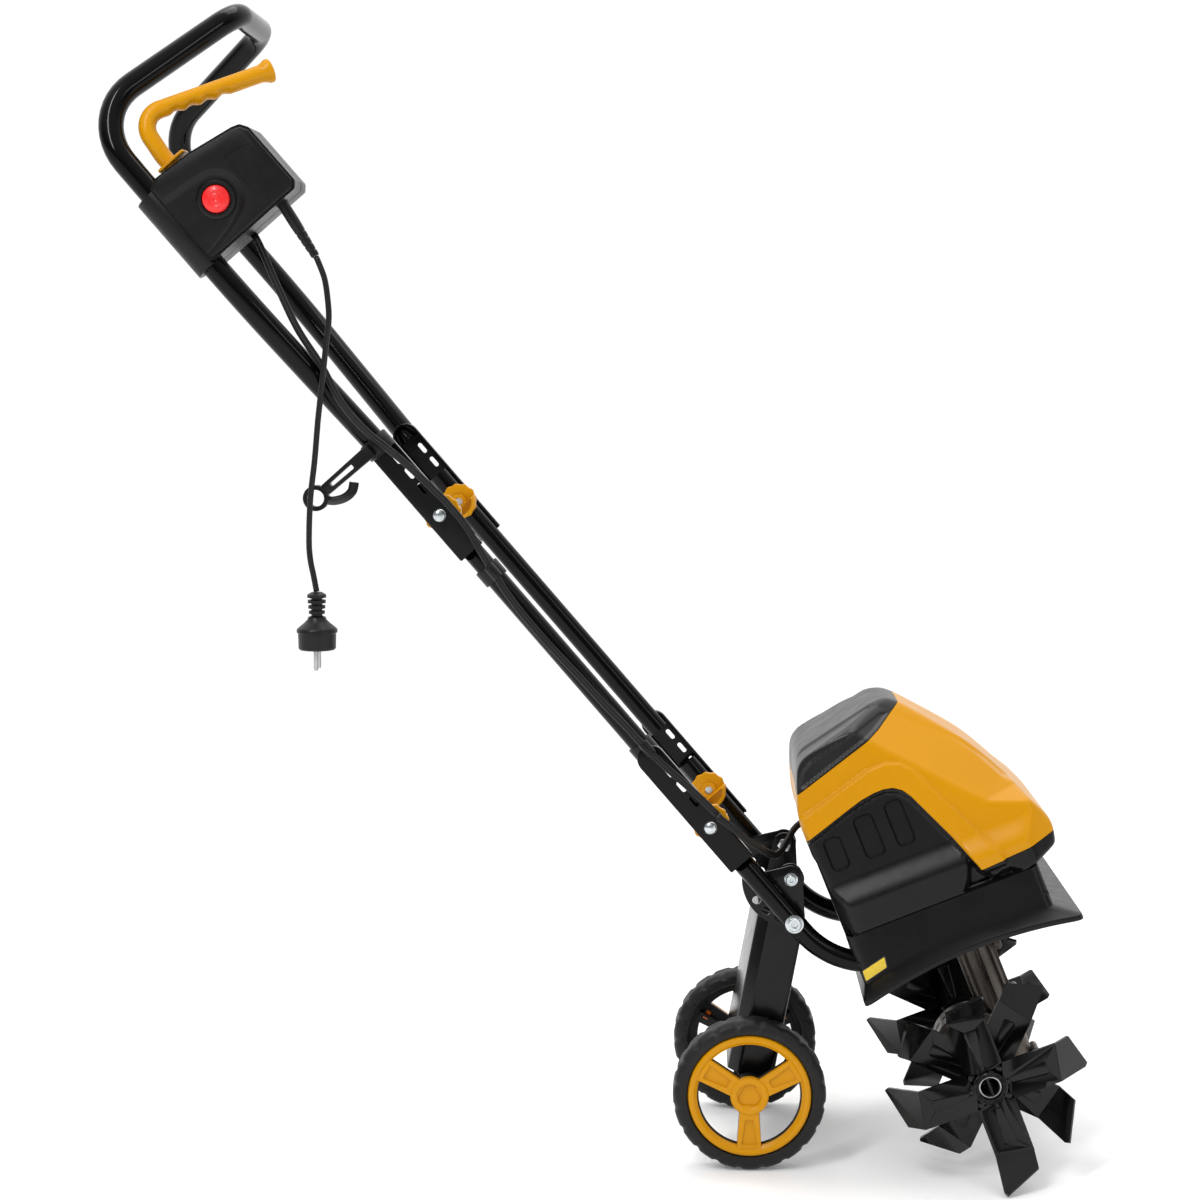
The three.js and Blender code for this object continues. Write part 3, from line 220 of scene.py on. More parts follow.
def prism(name, outline, low, high, axis="y"):
    """An outline of pairs, drawn out along Y (x, z pairs), X (y, z) or Z (x, y)."""
    orders = {"y": lambda a, b, h: (a, h, b), "x": lambda a, b, h: (h, a, b), "z": lambda a, b, h: (a, b, h)}
    put = orders[axis]
    count = len(outline)
    points = [put(a, b, low) for a, b in outline] + [put(a, b, high) for a, b in outline]
    faces = [list(range(count)), list(range(count, 2 * count))] + ring_faces(2, count)
    return mesh_object(name, points, faces, smooth=False)


def grown(outline, width):
    """The outline moved outwards by a width, corner by corner."""
    turning = sum(a[0] * b[1] - b[0] * a[1] for a, b in zip(outline, outline[1:] + outline[:1]))
    side = math.copysign(width, turning)
    moved = []
    for before, here, after in zip(outline[-1:] + outline, outline, outline[1:] + outline[:1]):
        along = (Vector(here) - Vector(before)).normalized() + (Vector(after) - Vector(here)).normalized()
        along.normalize()
        moved.append((here[0] + side * along.y, here[1] - side * along.x))
    return moved


def banked_cutter(name, floor_outline, bank, outside, face, floor, steps=6):
    """Cuts a hollow whose walls slope down from the face to its floor, along Y."""
    levels = [(outside, bank)]
    for i in range(steps + 1):
        share = i / steps
        levels.append((face + (floor - face) * share * share * (3 - 2 * share), bank * (1 - share)))
    rings = [[(x, y, z) for x, z in grown(floor_outline, width)] for y, width in levels]
    count = len(floor_outline)
    ends = [list(range(count)), [len(levels) * count - 1 - i for i in range(count)]]
    return mesh_object(name, sum(rings, []), ends + ring_faces(len(levels), count))


def block(name, low, high):
    outline = [(low[0], low[2]), (high[0], low[2]), (high[0], high[2]), (low[0], high[2])]
    return prism(name, outline, low[1], high[1])


def arc(x, z, radius, start, end, steps=12):
    """Points on an arc, with angles in degrees."""
    points = []
    for i in range(steps + 1):
        angle = math.radians(start + (end - start) * i / steps)
        points.append((x + radius * math.cos(angle), z + radius * math.sin(angle)))
    return points


def rounded(outline, radius, steps=4):
    """The outline with its corners rounded."""
    result = []
    count = len(outline)
    for i, corner in enumerate(outline):
        here = Vector(corner)
        before = Vector(outline[i - 1]) - here
        after = Vector(outline[(i + 1) % count]) - here
        turn = math.pi - before.angle(after)
        reach = min(radius * math.tan(turn / 2), before.length * 0.45, after.length * 0.45)
        start = here + before.normalized() * reach
        end = here + after.normalized() * reach
        for k in range(steps + 1):
            t = k / steps
            point = start * (1 - t) ** 2 + here * 2 * t * (1 - t) + end * t ** 2
            result.append((point.x, point.y))
    return result


def rod(name, radius, low, high, x=0.0, z=0.0, sides=32, axis="y"):
    return prism(name, arc(x, z, radius, 0, 360 - 360 / sides, sides - 1), low, high, axis)


def lathe(name, profile, segments=48, x=0.0, z=0.0, axis="y", base=0.0):
    """Turns [radius, height above base] pairs about Y or Z. The profile closes on itself."""
    points = []
    for k in range(segments):
        angle = 2 * math.pi * k / segments
        for radius, height in profile:
            a, b, h = radius * math.cos(angle), radius * math.sin(angle), base + height
            points.append((x + a, h, z + b) if axis == "y" else (x + a, z + b, h))
    return welded(mesh_object(name, points, ring_faces(segments, len(profile), closed=True)))


def welded(obj, distance=0.001):
    tool = bmesh.new()
    tool.from_mesh(obj.data)
    bmesh.ops.remove_doubles(tool, verts=tool.verts, dist=distance)
    bmesh.ops.dissolve_degenerate(tool, edges=tool.edges, dist=distance / 10)
    bmesh.ops.recalc_face_normals(tool, faces=tool.faces)
    tool.to_mesh(obj.data)
    tool.free()
    return obj


def bent_path(corners, bends, steps=10):
    """Points along straight stretches joined by round bends."""
    corners = [Vector(c) for c in corners]
    path = [corners[0]]
    for before, corner, after, radius in zip(corners, corners[1:], corners[2:], bends):
        into = (corner - before).normalized()
        out = (after - corner).normalized()
        turn = into.angle(out)
        start = corner - into * radius * math.tan(turn / 2)
        inward = (out - into * into.dot(out)).normalized()
        for k in range(steps + 1):
            angle = turn * k / steps
            path.append(start + into * radius * math.sin(angle) + inward * radius * (1 - math.cos(angle)))
    path.append(corners[-1])
    return path


def smooth_path(points, step):
    """Even points on a smooth curve through the given ones."""
    points = [Vector(p) for p in points]
    ends = [points[0] * 2 - points[1]] + points + [points[-1] * 2 - points[-2]]
    dense = []
    for p0, p1, p2, p3 in zip(ends, ends[1:], ends[2:], ends[3:]):
        for k in range(24):
            t = k / 24
            dense.append(0.5 * (2 * p1 + (p2 - p0) * t + (2 * p0 - 5 * p1 + 4 * p2 - p3) * t ** 2
                                + (3 * p1 - 3 * p2 + p3 - p0) * t ** 3))
    dense.append(points[-1])
    return evenly(dense, step)


def evenly(dense, step):
    lengths = [0.0]
    for a, b in zip(dense, dense[1:]):
        lengths.append(lengths[-1] + (b - a).length)
    count = max(2, round(lengths[-1] / step))
    result = []
    i = 0
    for k in range(count + 1):
        target = lengths[-1] * k / count
        while i < len(dense) - 2 and lengths[i + 1] < target:
            i += 1
        share = (target - lengths[i]) / max(lengths[i + 1] - lengths[i], 1e-9)
        result.append(dense[i].lerp(dense[i + 1], share))
    return result


def sweep(name, path, radius, sides=24, section=None):
    """A closed skin round a path. radius is a number or one per point; section is its outline."""
    section = section or arc(0, 0, 1, 0, 360 - 360 / sides, sides - 1)
    count = len(section)
    radii = radius if isinstance(radius, list) else [radius] * len(path)
    tangent = (path[1] - path[0]).normalized()
    side = tangent.orthogonal().normalized()
    points = []
    for i, point in enumerate(path):
        ahead = path[min(i + 1, len(path) - 1)] - path[max(i - 1, 0)]
        new_tangent = ahead.normalized()
        side = (tangent.rotation_difference(new_tangent) @ side).normalized()
        tangent = new_tangent
        up = tangent.cross(side)
        points += [point + (side * a + up * b) * radii[i] for a, b in section]
    ends = [list(range(count)), list(range(len(points) - count, len(points)))]
    return mesh_object(name, points, ends + ring_faces(len(path), count))


# ---- materials
def node_tree(name):
    material = bpy.data.materials.new(name)
    material.use_nodes = True
    tree = material.node_tree
    shader = tree.nodes["Principled BSDF"]
    return material, tree, shader


def noise(tree, scale, detail=4.0, roughness=0.55):
    texture = tree.nodes.new("ShaderNodeTexNoise")
    texture.inputs["Scale"].default_value = scale
    texture.inputs["Detail"].default_value = detail
    texture.inputs["Roughness"].default_value = roughness
    place = tree.nodes.new("ShaderNodeTexCoord")
    tree.links.new(place.outputs["Object"], texture.inputs["Vector"])
    return texture.outputs["Fac"]


def ramp(tree, value, low, high, start=0.3, end=0.7):
    """A number that goes from low to high as value goes from start to end."""
    step = tree.nodes.new("ShaderNodeMapRange")
    step.inputs["From Min"].default_value = start
    step.inputs["From Max"].default_value = end
    step.inputs["To Min"].default_value = low
    step.inputs["To Max"].default_value = high
    tree.links.new(value, step.inputs["Value"])
    return step.outputs["Result"]


def mixed(tree, value, first, second):
    mix = tree.nodes.new("ShaderNodeMix")
    mix.data_type = "RGBA"
    tree.links.new(value, mix.inputs["Factor"])
    mix.inputs["A"].default_value = (*first, 1)
    mix.inputs["B"].default_value = (*second, 1)
    return mix.outputs["Result"]


def bump(tree, shader, height, strength, distance):
    node = tree.nodes.new("ShaderNodeBump")
    node.inputs["Strength"].default_value = strength
    node.inputs["Distance"].default_value = distance
    tree.links.new(height, node.inputs["Height"])
    tree.links.new(node.outputs["Normal"], shader.inputs["Normal"])


COAT_ROUGHNESS = 0.08
GRAIN_STRENGTH = 0.6


def make_finish(name, color, dark, rough, metal, grain, grain_height, coat=0.0, patch=9.0, specular=0.5):
    """One material: two close tones in soft patches, uneven gloss, and a fine grain in relief."""
    material, tree, shader = node_tree(name)
    patches = noise(tree, patch, 3)
    tree.links.new(mixed(tree, ramp(tree, patches, 0, 1), dark, color), shader.inputs["Base Color"])
    gloss = noise(tree, patch * 5, 4)
    tree.links.new(ramp(tree, gloss, rough[0], rough[1]), shader.inputs["Roughness"])
    shader.inputs["Metallic"].default_value = metal
    shader.inputs["Coat Weight"].default_value = coat
    shader.inputs["Coat Roughness"].default_value = COAT_ROUGHNESS
    shader.inputs["Specular IOR Level"].default_value = specular
    if grain:
        bump(tree, shader, noise(tree, grain, 2, 0.7), GRAIN_STRENGTH, grain_height)
    return material


# Light and dark tone, roughness range, metal, grains per metre and their height in metres,
# coat, patches per metre, specular level.
FINISH_VALUES = {
    "gloss_black": ((0.0022, 0.0022, 0.0025), (0.0014, 0.0014, 0.0016), (0.10, 0.15),
                    0, 420, 0.000001, 0.03, 6, 0.14),
    "black_plastic": ((0.0065, 0.0062, 0.0062), (0.0045, 0.0042, 0.0042), (0.30, 0.38),
                      0, 1500, 0.00003, 0, 14, 0.22),
    "satin_black": ((0.0042, 0.004, 0.004), (0.0028, 0.0028, 0.0028), (0.20, 0.28),
                    0, 700, 0.00001, 0.03, 12, 0.2),
    "yellow_plastic": ((0.62, 0.272, 0.001), (0.57, 0.248, 0.001), (0.28, 0.34),
                       0, 1500, 0.00001, 0.03, 8, 0.17),
    "red_plastic": ((0.80, 0.022, 0.022), (0.70, 0.014, 0.016), (0.28, 0.38),
                    0, 1200, 0.00003, 0.15, 20, 0.35),
    "tine_steel": ((0.0036, 0.0035, 0.0034), (0.002, 0.002, 0.0019), (0.16, 0.26),
                   0, 140, 0.00001, 0.05, 10, 0.26),
    "cast_metal": ((0.115, 0.098, 0.085), (0.075, 0.064, 0.055), (0.34, 0.48),
                   0.85, 900, 0.00007, 0, 18, 0.5),
    "zinc": ((0.62, 0.66, 0.68), (0.44, 0.47, 0.48), (0.20, 0.34), 1, 700, 0.00003, 0, 120, 0.5),
    "steel": ((0.45, 0.45, 0.45), (0.34, 0.34, 0.34), (0.28, 0.42), 1, 500, 0.00004, 0, 60, 0.5),
    "copper": ((0.60, 0.33, 0.15), (0.42, 0.22, 0.10), (0.30, 0.45), 1, 400, 0.00006, 0, 50, 0.5),
    "rubber": ((0.0055, 0.0055, 0.0055), (0.0038, 0.0038, 0.0038), (0.34, 0.44),
               0, 900, 0.00001, 0, 30, 0.3),
    "wheel_moulding": ((0.008, 0.0075, 0.0072), (0.005, 0.0048, 0.0046), (0.42, 0.54),
                       0, 1100, 0.00006, 0, 16, 0.3),
    "cap_gloss": ((0.0075, 0.007, 0.007), (0.005, 0.0048, 0.0048), (0.32, 0.42),
                  0, 1500, 0.00003, 0.08, 10, 0.35),
    "label_film": ((0.80, 0.56, 0.003), (0.76, 0.52, 0.003), (0.25, 0.33), 0, 300, 0.00002, 0.3, 40, 0.5),
    "label_border": ((0.008, 0.008, 0.008), (0.006, 0.006, 0.006), (0.3, 0.4), 0, 300, 0.00002, 0, 40, 0.5),
    "snap_tabs": ((0.90, 0.17, 0.004), (0.82, 0.14, 0.004), (0.35, 0.45), 0, 900, 0.00003, 0, 20, 0.5),
}
FINISHES = {name: make_finish(name, *values) for name, values in FINISH_VALUES.items()}

RECORD = frame["record"]
BODY_OF = {node: body for body, nodes in RECORD["behaviour"]["bodies"].items() for node in nodes}
SLOT_OF = {part["node"]: part["material_slot"] for part in RECORD["subparts"]}


def paint(obj, material):
    obj.data.materials.clear()
    obj.data.materials.append(material)
    return obj


def stand_in(obj, *nodes, material=None):
    """The piece takes the place, body and finish of its CAD nodes."""
    paint(obj, material or FINISHES[SLOT_OF[nodes[0]]])
    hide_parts(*nodes)
    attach(obj, BODY_OF[nodes[0]])
    return obj


def fit(obj, name, line, node, angle=35, material=None):
    """Shades and names a piece drawn on a line, and puts it in its CAD node's place."""
    obj.name = name
    return stand_in(placed(shade(obj, angle), line), node, material=material)


def extra(obj, body, slot_name, material=None):
    """A detail with no CAD node of its own."""
    paint(obj, material or FINISHES[slot_name])
    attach(obj, body)
    return obj


for node_name, cad_object in frame["nodes"].items():
    paint(cad_object, FINISHES[SLOT_OF[node_name]])
    for polygon in cad_object.data.polygons:
        polygon.use_smooth = False

# ---- mains lead and plug
CORD_ROUTE = [
    (-434.6, -171, 944.6), (-432, -172, 939), (-426, -174, 923), (-423, -175, 903), (-422, -176, 883),
    (-425, -176, 859), (-429, -176, 824), (-434, -175, 785), (-438, -174, 745), (-443, -173, 705),
    (-445, -172, 665), (-444, -172, 645), (-441, -172, 629), (-438.5, -172, 615), (-438, -172, 612.4),
]
CORD_RADIUS = 3.0


def add_plug():
    """The moulded plug, its ribbed sleeve and its two pins."""
    end = CORD_ROUTE[-1]
    profile = [(0, 0), (5.5, 0), (7, -1)]
    for i in range(4):
        top = -2.5 - 5.4 * i
        wide = 9.6 - 0.5 * i
        profile += [(wide, top), (wide, top - 3.0), (5.6, top - 3.6), (5.6, top - 5.0)]
    profile += [(8.8, -25), (9.6, -27.5), (13, -31), (18, -35), (20.2, -37), (20.5, -38), (20.5, -40.4),
                (19.2, -41.4), (18.8, -56.5), (17.6, -58), (0, -58.2)]
    plug = lathe("mains_plug_body", profile, 40, axis="z")
    for y in (-9.5, 9.5):
        pin = lathe("pin", [(0, -57), (2.4, -57), (2.4, -76.5), (1.7, -78), (0, -78)], 20, 0, y, "z")
        union(plug, pin)
    plug.data.transform(Matrix.Translation((end[0], end[1], end[2] - 0.6)))
    fit(plug, "mains_plug_body", MACHINE, "mains_plug")
    paint_pins(plug)
    return plug


def paint_pins(plug):
    plug.data.materials.append(FINISHES["steel"])
    pin_top = on_machine(0, 0, CORD_ROUTE[-1][2] - 59.4).z
    for polygon in plug.data.polygons:
        if polygon.center.z < pin_top:
            polygon.material_index = 1


def add_strain_relief():
    """The tapered, ribbed sleeve where the lead leaves the box."""
    profile = [(0, 0.9), (3.7, 0.9), (4.3, 1.6)]
    for i in range(4):
        low = 6 + 7 * i
        radius = 4.4 + 0.3 * i
        neck = radius - 0.45
        profile += [(radius, low), (neck, low + 0.6), (neck, low + 1.6), (radius + 0.1, low + 2.2)]
    profile += [(5.8, 38), (5.8, 66), (0, 66)]
    relief = lathe("lead_sleeve", profile, 32, axis="z")
    up = Vector((-0.53, 0, 0.848)).normalized()
    turn = Vector((0, 0, 1)).rotation_difference(up).to_matrix().to_4x4()
    relief.data.transform(Matrix.Translation(Vector(CORD_ROUTE[0])) @ turn)
    fit(relief, "lead_sleeve", MACHINE, "strain_relief")


def add_mains_lead():
    path = smooth_path(CORD_ROUTE, 3.0)
    lead = sweep("mains_lead", path, CORD_RADIUS, 16)
    stand_in(placed(lead, MACHINE), "mains_cord")
    plug = add_plug()


add_mains_lead()
add_strain_relief()

# ---- motor lead
CABLE_UPPER = [
    (47, -147, 889), (44, -147, 876), (33, -152, 840), (20, -161, 790), (14, -165, 745), (6, -166, 712),
    (3, -159, 685), (4, -151.5, 662), (7, -149.5, 645), (10, -143, 625), (12, -136, 602), (14, -132, 575),
    (15, -131, 560),
]
CABLE_MIDDLE = [
    (14, -130, 530), (9, -129, 505), (4, -125.5, 480), (-1, -124.5, 440), (-2, -124.5, 391),
    (0, -124.5, 340), (1, -124.5, 300), (3, -126, 270), (4, -128, 240), (7, -129, 210), (12, -131, 175),
    (15, -131, 140),
]
CABLE_LOWER = [
    (-31, -131, 375), (-18, -130, 365), (-7, -129, 355), (6, -123, 345), (17, -113, 337), (25, -101, 332),
    (31, -90, 333), (38, -81, 342), (46, -76, 355), (54, -74, 361.6), (61, -74, 364.5),
]
STRAND_RADIUS = 2.1
STRAND_OFFSET = 2.0


def two_core(name, path):
    """Two thin sheathed strands side by side."""
    flat = arc(-STRAND_OFFSET, 0, STRAND_RADIUS, 40, 320, 9)
    flat += arc(STRAND_OFFSET, 0, STRAND_RADIUS, 220, 500, 9)
    return sweep(name, path, 1.0, section=flat)


def lay_motor_lead(name, path, line, nodes):
    """A run of motor lead laid over one fold, in place of its CAD nodes; it is tied to neither body."""
    run = placed(two_core(name, path), line)
    paint(run, FINISHES["rubber"])
    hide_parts(*nodes)
    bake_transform(run)


def add_motor_lead():
    lay_motor_lead("motor_lead_upper", smooth_path(CABLE_UPPER + CABLE_MIDDLE, 6.0), HANDLE,
                   ("motor_cable_upper", "motor_cable_middle"))
    joint = MACHINE.inverted() @ on_handle(*CABLE_MIDDLE[-1])
    short_run = smooth_path([joint] + [Vector(p) for p in CABLE_LOWER], 5.0)
    lay_motor_lead("motor_lead_lower", short_run, MACHINE, ("motor_cable_lower",))


add_motor_lead()

# ---- fold channels and tubes
CHANNEL_BELOW, CHANNEL_ABOVE = 50.0, 108.0
CHANNEL_INNER, CHANNEL_OUTER = 113.0, 123.5
CHANNEL_HALF, CHANNEL_WALL = 14.5, 2.6
FLAT_FACE = CHANNEL_INNER - 0.3
TUBE_RADIUS, HANDLE_RADIUS = 11.0, 12.5
TUBE_ABOVE, TUBE_START, FLAT_BELOW = 38.0, 86.0, 56.0
BOLT_HOLE = 4.3
TAIL_HEIGHT, TAIL_BEND = 222.0, 90.0
HANDLE_BENDS = [400, 60, 42, 42, 60, 400]
BORE_GAP = 0.3


def stadium(half, low, high, steps=12):
    return [(-half, low), (half, low)] + arc(0, high - half, half, 0, 180, steps)


def slot_shape(x, z, radius, half_length):
    reach = half_length - radius
    return arc(x, z + reach, radius, 0, 180, 8) + arc(x, z - reach, radius, 180, 360, 8)


def fold_channel(at):
    """The pressed channel that laps over the tube below it."""
    outside = prism("channel", stadium(CHANNEL_HALF, at - CHANNEL_BELOW, at + CHANNEL_ABOVE),
                    -CHANNEL_OUTER, -CHANNEL_INNER)
    soften(outside, 1.6, 3)
    low = at - CHANNEL_BELOW - 2
    inside = prism("hollow", stadium(CHANNEL_HALF - CHANNEL_WALL, low, at + CHANNEL_ABOVE - CHANNEL_WALL),
                   -CHANNEL_OUTER + CHANNEL_WALL, -CHANNEL_INNER + 2)
    cut(outside, inside)
    for step in (32, 52, 72):
        cut(outside, prism("slot", slot_shape(5, at + step, 2.4, 6.5), -CHANNEL_OUTER - 2, -CHANNEL_INNER))
    return cut(outside, rod("hole", BOLT_HOLE, -CHANNEL_OUTER - 2, -CHANNEL_INNER + 2, 0, at, 24))


def pressed_end(tube, at):
    """A round tube end pressed flat on its outer side, with the bolt hole."""
    press = block("press", (-40, -TUBE_Y - 40, at - FLAT_BELOW), (40, -FLAT_FACE, at + TUBE_ABOVE + 20))
    soften(press, 8, 4)
    cut(tube, press)
    return cut(tube, rod("drill", BOLT_HOLE, -TUBE_Y - 20, -TUBE_Y + 20, 0, at, 24))


def frame_tube(side):
    drop = (LOCK_BOLT[1] - TAIL_HEIGHT) / math.sin(TUBE_SLOPE)
    corner = Vector((0, -TUBE_Y, -drop))
    tail = HANDLE.inverted() @ MACHINE @ Vector((152, -TUBE_Y, TAIL_HEIGHT))
    top = LOWER_FOLD + TUBE_ABOVE
    path = bent_path([(0, -TUBE_Y, top), corner, tail], [TAIL_BEND], 16)
    tube = sweep("frame_tube", path, TUBE_RADIUS, 28)
    pressed_end(tube, LOWER_FOLD)
    cut(tube, rod("drill", BOLT_HOLE, -TUBE_Y - 20, -TUBE_Y + 20, 0, 0, 24))
    fit(mirrored(tube, SIDES[side]), f"frame_pipe_{side}", HANDLE, f"frame_tube_{side}")


def mid_tube(side):
    foot = LOWER_FOLD + TUBE_START
    tube = rod("mid", TUBE_RADIUS, foot, UPPER_FOLD + TUBE_ABOVE, 0, -TUBE_Y, 28, axis="z")
    pressed_end(tube, UPPER_FOLD)
    union(tube, fold_channel(LOWER_FOLD))
    fit(mirrored(tube, SIDES[side]), f"middle_pipe_{side}", HANDLE, f"mid_tube_{side}")


def handle_path(steps):
    """The handle tube's middle line, from the right fold round the grip to the left fold."""
    start = UPPER_FOLD + TUBE_START
    right = [(0, -128, start), (0, -181, UPPER_FOLD + 290), (0, -172, GRIP_BEND), (174, -79, GRIP_BEND - 3)]
    corners = right + [(x, -y, z) for x, y, z in reversed(right)]
    return bent_path(corners, HANDLE_BENDS, steps)


def add_handle_tube():
    tube = sweep("handle_pipe", handle_path(12), HANDLE_RADIUS, 32)
    for side in SIDES.values():
        union(tube, mirrored(fold_channel(UPPER_FOLD), side))
    fit(tube, "handle_pipe", HANDLE, "handle_tube")


for side_name in SIDES:
    frame_tube(side_name)
    mid_tube(side_name)
add_handle_tube()


# ---- bolts and clamp knobs
KNOB_FACE, KNOB_RADIUS = 97.5, 20.0


def clamp_knob(at):
    """A scalloped disc with a half-round raised grip that is hollowed on its face."""
    rim = []
    for k in range(96):
        angle = 2 * math.pi * k / 96
        radius = KNOB_RADIUS - 0.7 + 0.6 * math.cos(12 * angle)
        rim.append((radius * math.cos(angle), at + radius * math.sin(angle)))
    disc = soften(prism("knob", rim, -KNOB_FACE, -KNOB_FACE + 7), 1.2, 3, 50)
    wing = prism("wing", arc(0, at, KNOB_RADIUS - 1.2, 196, 344, 24), -KNOB_FACE + 5, -KNOB_FACE + 20)
    soften(wing, 1.6, 3)
    dish = prism("dish", arc(0, at, KNOB_RADIUS - 5, 202, 338, 20), -KNOB_FACE + 13, -KNOB_FACE + 22)
    union(disc, cut(wing, soften(dish, 1.2, 2)))
    union(disc, lathe("collar", [(4.4, 6), (9, 6), (8.4, 11), (4.4, 11)], 32, 0, at, base=-KNOB_FACE))
    return cut(disc, rod("bore", BOLT_HOLE, -KNOB_FACE - 2, -KNOB_FACE + 12, 0, at, 24))


def coach_bolt(at):
    face = -CHANNEL_OUTER - 0.3
    dome = [(0, face - 3.5), (2.4, face - 3.3), (4.6, face - 2.6), (6.2, face - 1.5), (7, face), (4, face),
            (4, -91), (0, -91)]
    return lathe("coach_bolt", dome, 36, 0, at)


def add_fold_hardware():
    for level, at in (("lower", LOWER_FOLD), ("upper", UPPER_FOLD)):
        for side, sign in SIDES.items():
            fit(mirrored(clamp_knob(at), sign), f"{level}_wing_knob_{side}", HANDLE,
                f"{level}_clamp_knob_{side}")
            fit(mirrored(coach_bolt(at), sign), f"{level}_coach_bolt_{side}", HANDLE,
                f"{level}_fold_bolt_{side}", 50)


def cross_bolt(x, z, face, radius, tip, nut_face):
    """A round, flanged bolt with a hexagon socket in its head, and its nut."""
    cap = radius * 0.74
    profile = [(0, -face - 6.3), (1.5, -face - 6.1), (radius * 0.66, -face - 6.1), (cap, -face - 5.2),
               (cap, -face - 1.8), (radius, -face - 1.3), (radius, -face), (4, -face), (4, -tip), (0, -tip)]
    head = lathe("bolt", profile, 36, x, z)
    cut(head, prism("socket", arc(x, z, radius * 0.4, 0, 300, 5), -face - 8, -face - 3.4))
    nut = soften(prism("nut", arc(x, z, 7.8, 0, 300, 5), -nut_face, -nut_face + 5), 0.6, 2)
    return union(head, nut)


def add_arm_bolts():
    for side, sign in SIDES.items():
        lock = mirrored(cross_bolt(*LOCK_BOLT, 120.3, 9.5, 88, 93.9), sign)
        fit(lock, f"lock_bolt_detail_{side}", MACHINE, f"lock_bolt_{side}")
        pivot = mirrored(cross_bolt(*ARM_PIVOT, 97.9, 7, 72, 78.7), sign)
        fit(pivot, f"pivot_bolt_detail_{side}", MACHINE, f"arm_pivot_bolt_{side}")


add_fold_hardware()
add_arm_bolts()


# ---- wheel arm and sector plates
LOCK_STEP = 20.5                           # degrees between the plate's lock holes


def add_sector_plates():
    x, z = ARM_PIVOT
    ring = math.hypot(LOCK_BOLT[0] - x, LOCK_BOLT[1] - z)
    first = math.degrees(math.atan2(LOCK_BOLT[1] - z, LOCK_BOLT[0] - x))
    for side, sign in SIDES.items():
        outline = arc(x, z, 51, 178, 288, 24) + arc(x, z, 14, -30, 120, 12)
        plate = soften(prism("sector", outline, -97.6, -94.2), 0.7, 2)
        for i in range(4):
            angle = math.radians(first - LOCK_STEP * i)
            hx, hz = x + ring * math.cos(angle), z + ring * math.sin(angle)
            cut(plate, rod("hole", 4.6, -99, -93, hx, hz, 24))
        cut(plate, rod("hole", BOLT_HOLE, -99, -93, x, z, 24))
        fit(mirrored(plate, sign), f"sector_detail_{side}", MACHINE, f"sector_plate_{side}")


def add_wheel_arm():
    """One folded sheet: a web with two slanted corners and two flanges."""
    half, sheet, rear, front, chamfer = 82.0, 3.0, -25.0, 24.0, 12.0
    bend = rear + chamfer
    outer = rounded([(front, half), (bend, half), (rear, half - chamfer), (rear, -half + chamfer),
                     (bend, -half), (front, -half)], 5, 4)
    slant = sheet * 0.41
    inner = rounded([(front, half - sheet), (bend + slant, half - sheet),
                     (rear + sheet, half - chamfer - slant), (rear + sheet, -half + chamfer + slant),
                     (bend + slant, -half + sheet), (front, -half + sheet)], 3, 4)
    low = -ARM_LENGTH + 12
    arm = prism("arm_web", outer + list(reversed(inner)), low, -42, axis="z")
    for y0 in (-half, half - sheet):
        ear = [(front, -44)] + arc(0, 0, 13, 20, 170, 16) + [(bend, -44)]
        foot = [(bend, low + 2)] + arc(0, -ARM_LENGTH, 13, 190, 350, 16) + [(front - 4, low + 2)]
        union(arm, prism("ear", ear, y0, y0 + sheet), prism("foot", foot, y0, y0 + sheet))
    soften(arm, 0.8, 2, 50)
    cut(arm, rod("hole", BOLT_HOLE, -90, 90, 0, 0, 24), rod("hole", 5.3, -90, 90, 0, -ARM_LENGTH, 24))
    fit(arm, "folded_wheel_arm", ARM, "wheel_arm")


add_sector_plates()
add_wheel_arm()

# ---- wheels
WHEEL_HALF = 16.0
TREAD_BLOCKS = 20
TREAD_STEPS = 8


def tread_ring(name):
    """The tread: two rows of shoulder blocks set half a step apart, with a groove between."""
    half_profile = [(80, 2.4), (80, 7), (79, 11.5), (76.5, 14.5), (73.5, 16), (66, 15.4), (65, 14)]
    profile = [(radius, -height) for radius, height in reversed(half_profile)] + half_profile
    segments = TREAD_BLOCKS * TREAD_STEPS
    points = []
    for k in range(segments):
        angle = 2 * math.pi * k / segments
        for radius, height in profile:
            phase = (k / TREAD_STEPS + (0.5 if height > 0 else 0.0)) % 1
            groove = 1.5 if phase < 0.14 and radius > 73 and abs(height) > 4 else 0.0
            if abs(height) < 3:
                groove = 0.9
            r = radius - groove
            points.append((r * math.cos(angle), height, r * math.sin(angle)))
    return mesh_object(name, points, ring_faces(segments, len(profile), closed=True))


def spoke(name, half_inner, half_outer, inner, outer, y0, y1, turn):
    outline = [(-half_inner, -inner), (half_inner, -inner), (half_outer, -outer), (-half_outer, -outer)]
    obj = prism(name, outline, y0, y1)
    obj.data.transform(Matrix.Rotation(turn, 4, "Y"))
    return obj


def thirds():
    """The three spokes' turns round the hub."""
    return [2 * math.pi * i / 3 for i in range(3)]


def wheel_body():
    wheel = tread_ring("wheel")
    rim = lathe("rim", [(66.5, 3), (66.5, 7.2), (54, 7.2), (53, 5), (54, 3)], 96)
    hub = lathe("hub", [(5.3, -15), (16, -15), (17, -14), (17, 8), (5.3, 8)], 64)
    union(wheel, rim, hub)
    for turn in thirds():
        union(wheel, soften(spoke("spoke", 10, 13, 8, 58, 2.6, 7.2, turn), 0.8, 2))
    for turn in thirds():
        union(wheel, spoke("web", 1.3, 1.3, 14, 58, -8, 5, turn))
    return wheel


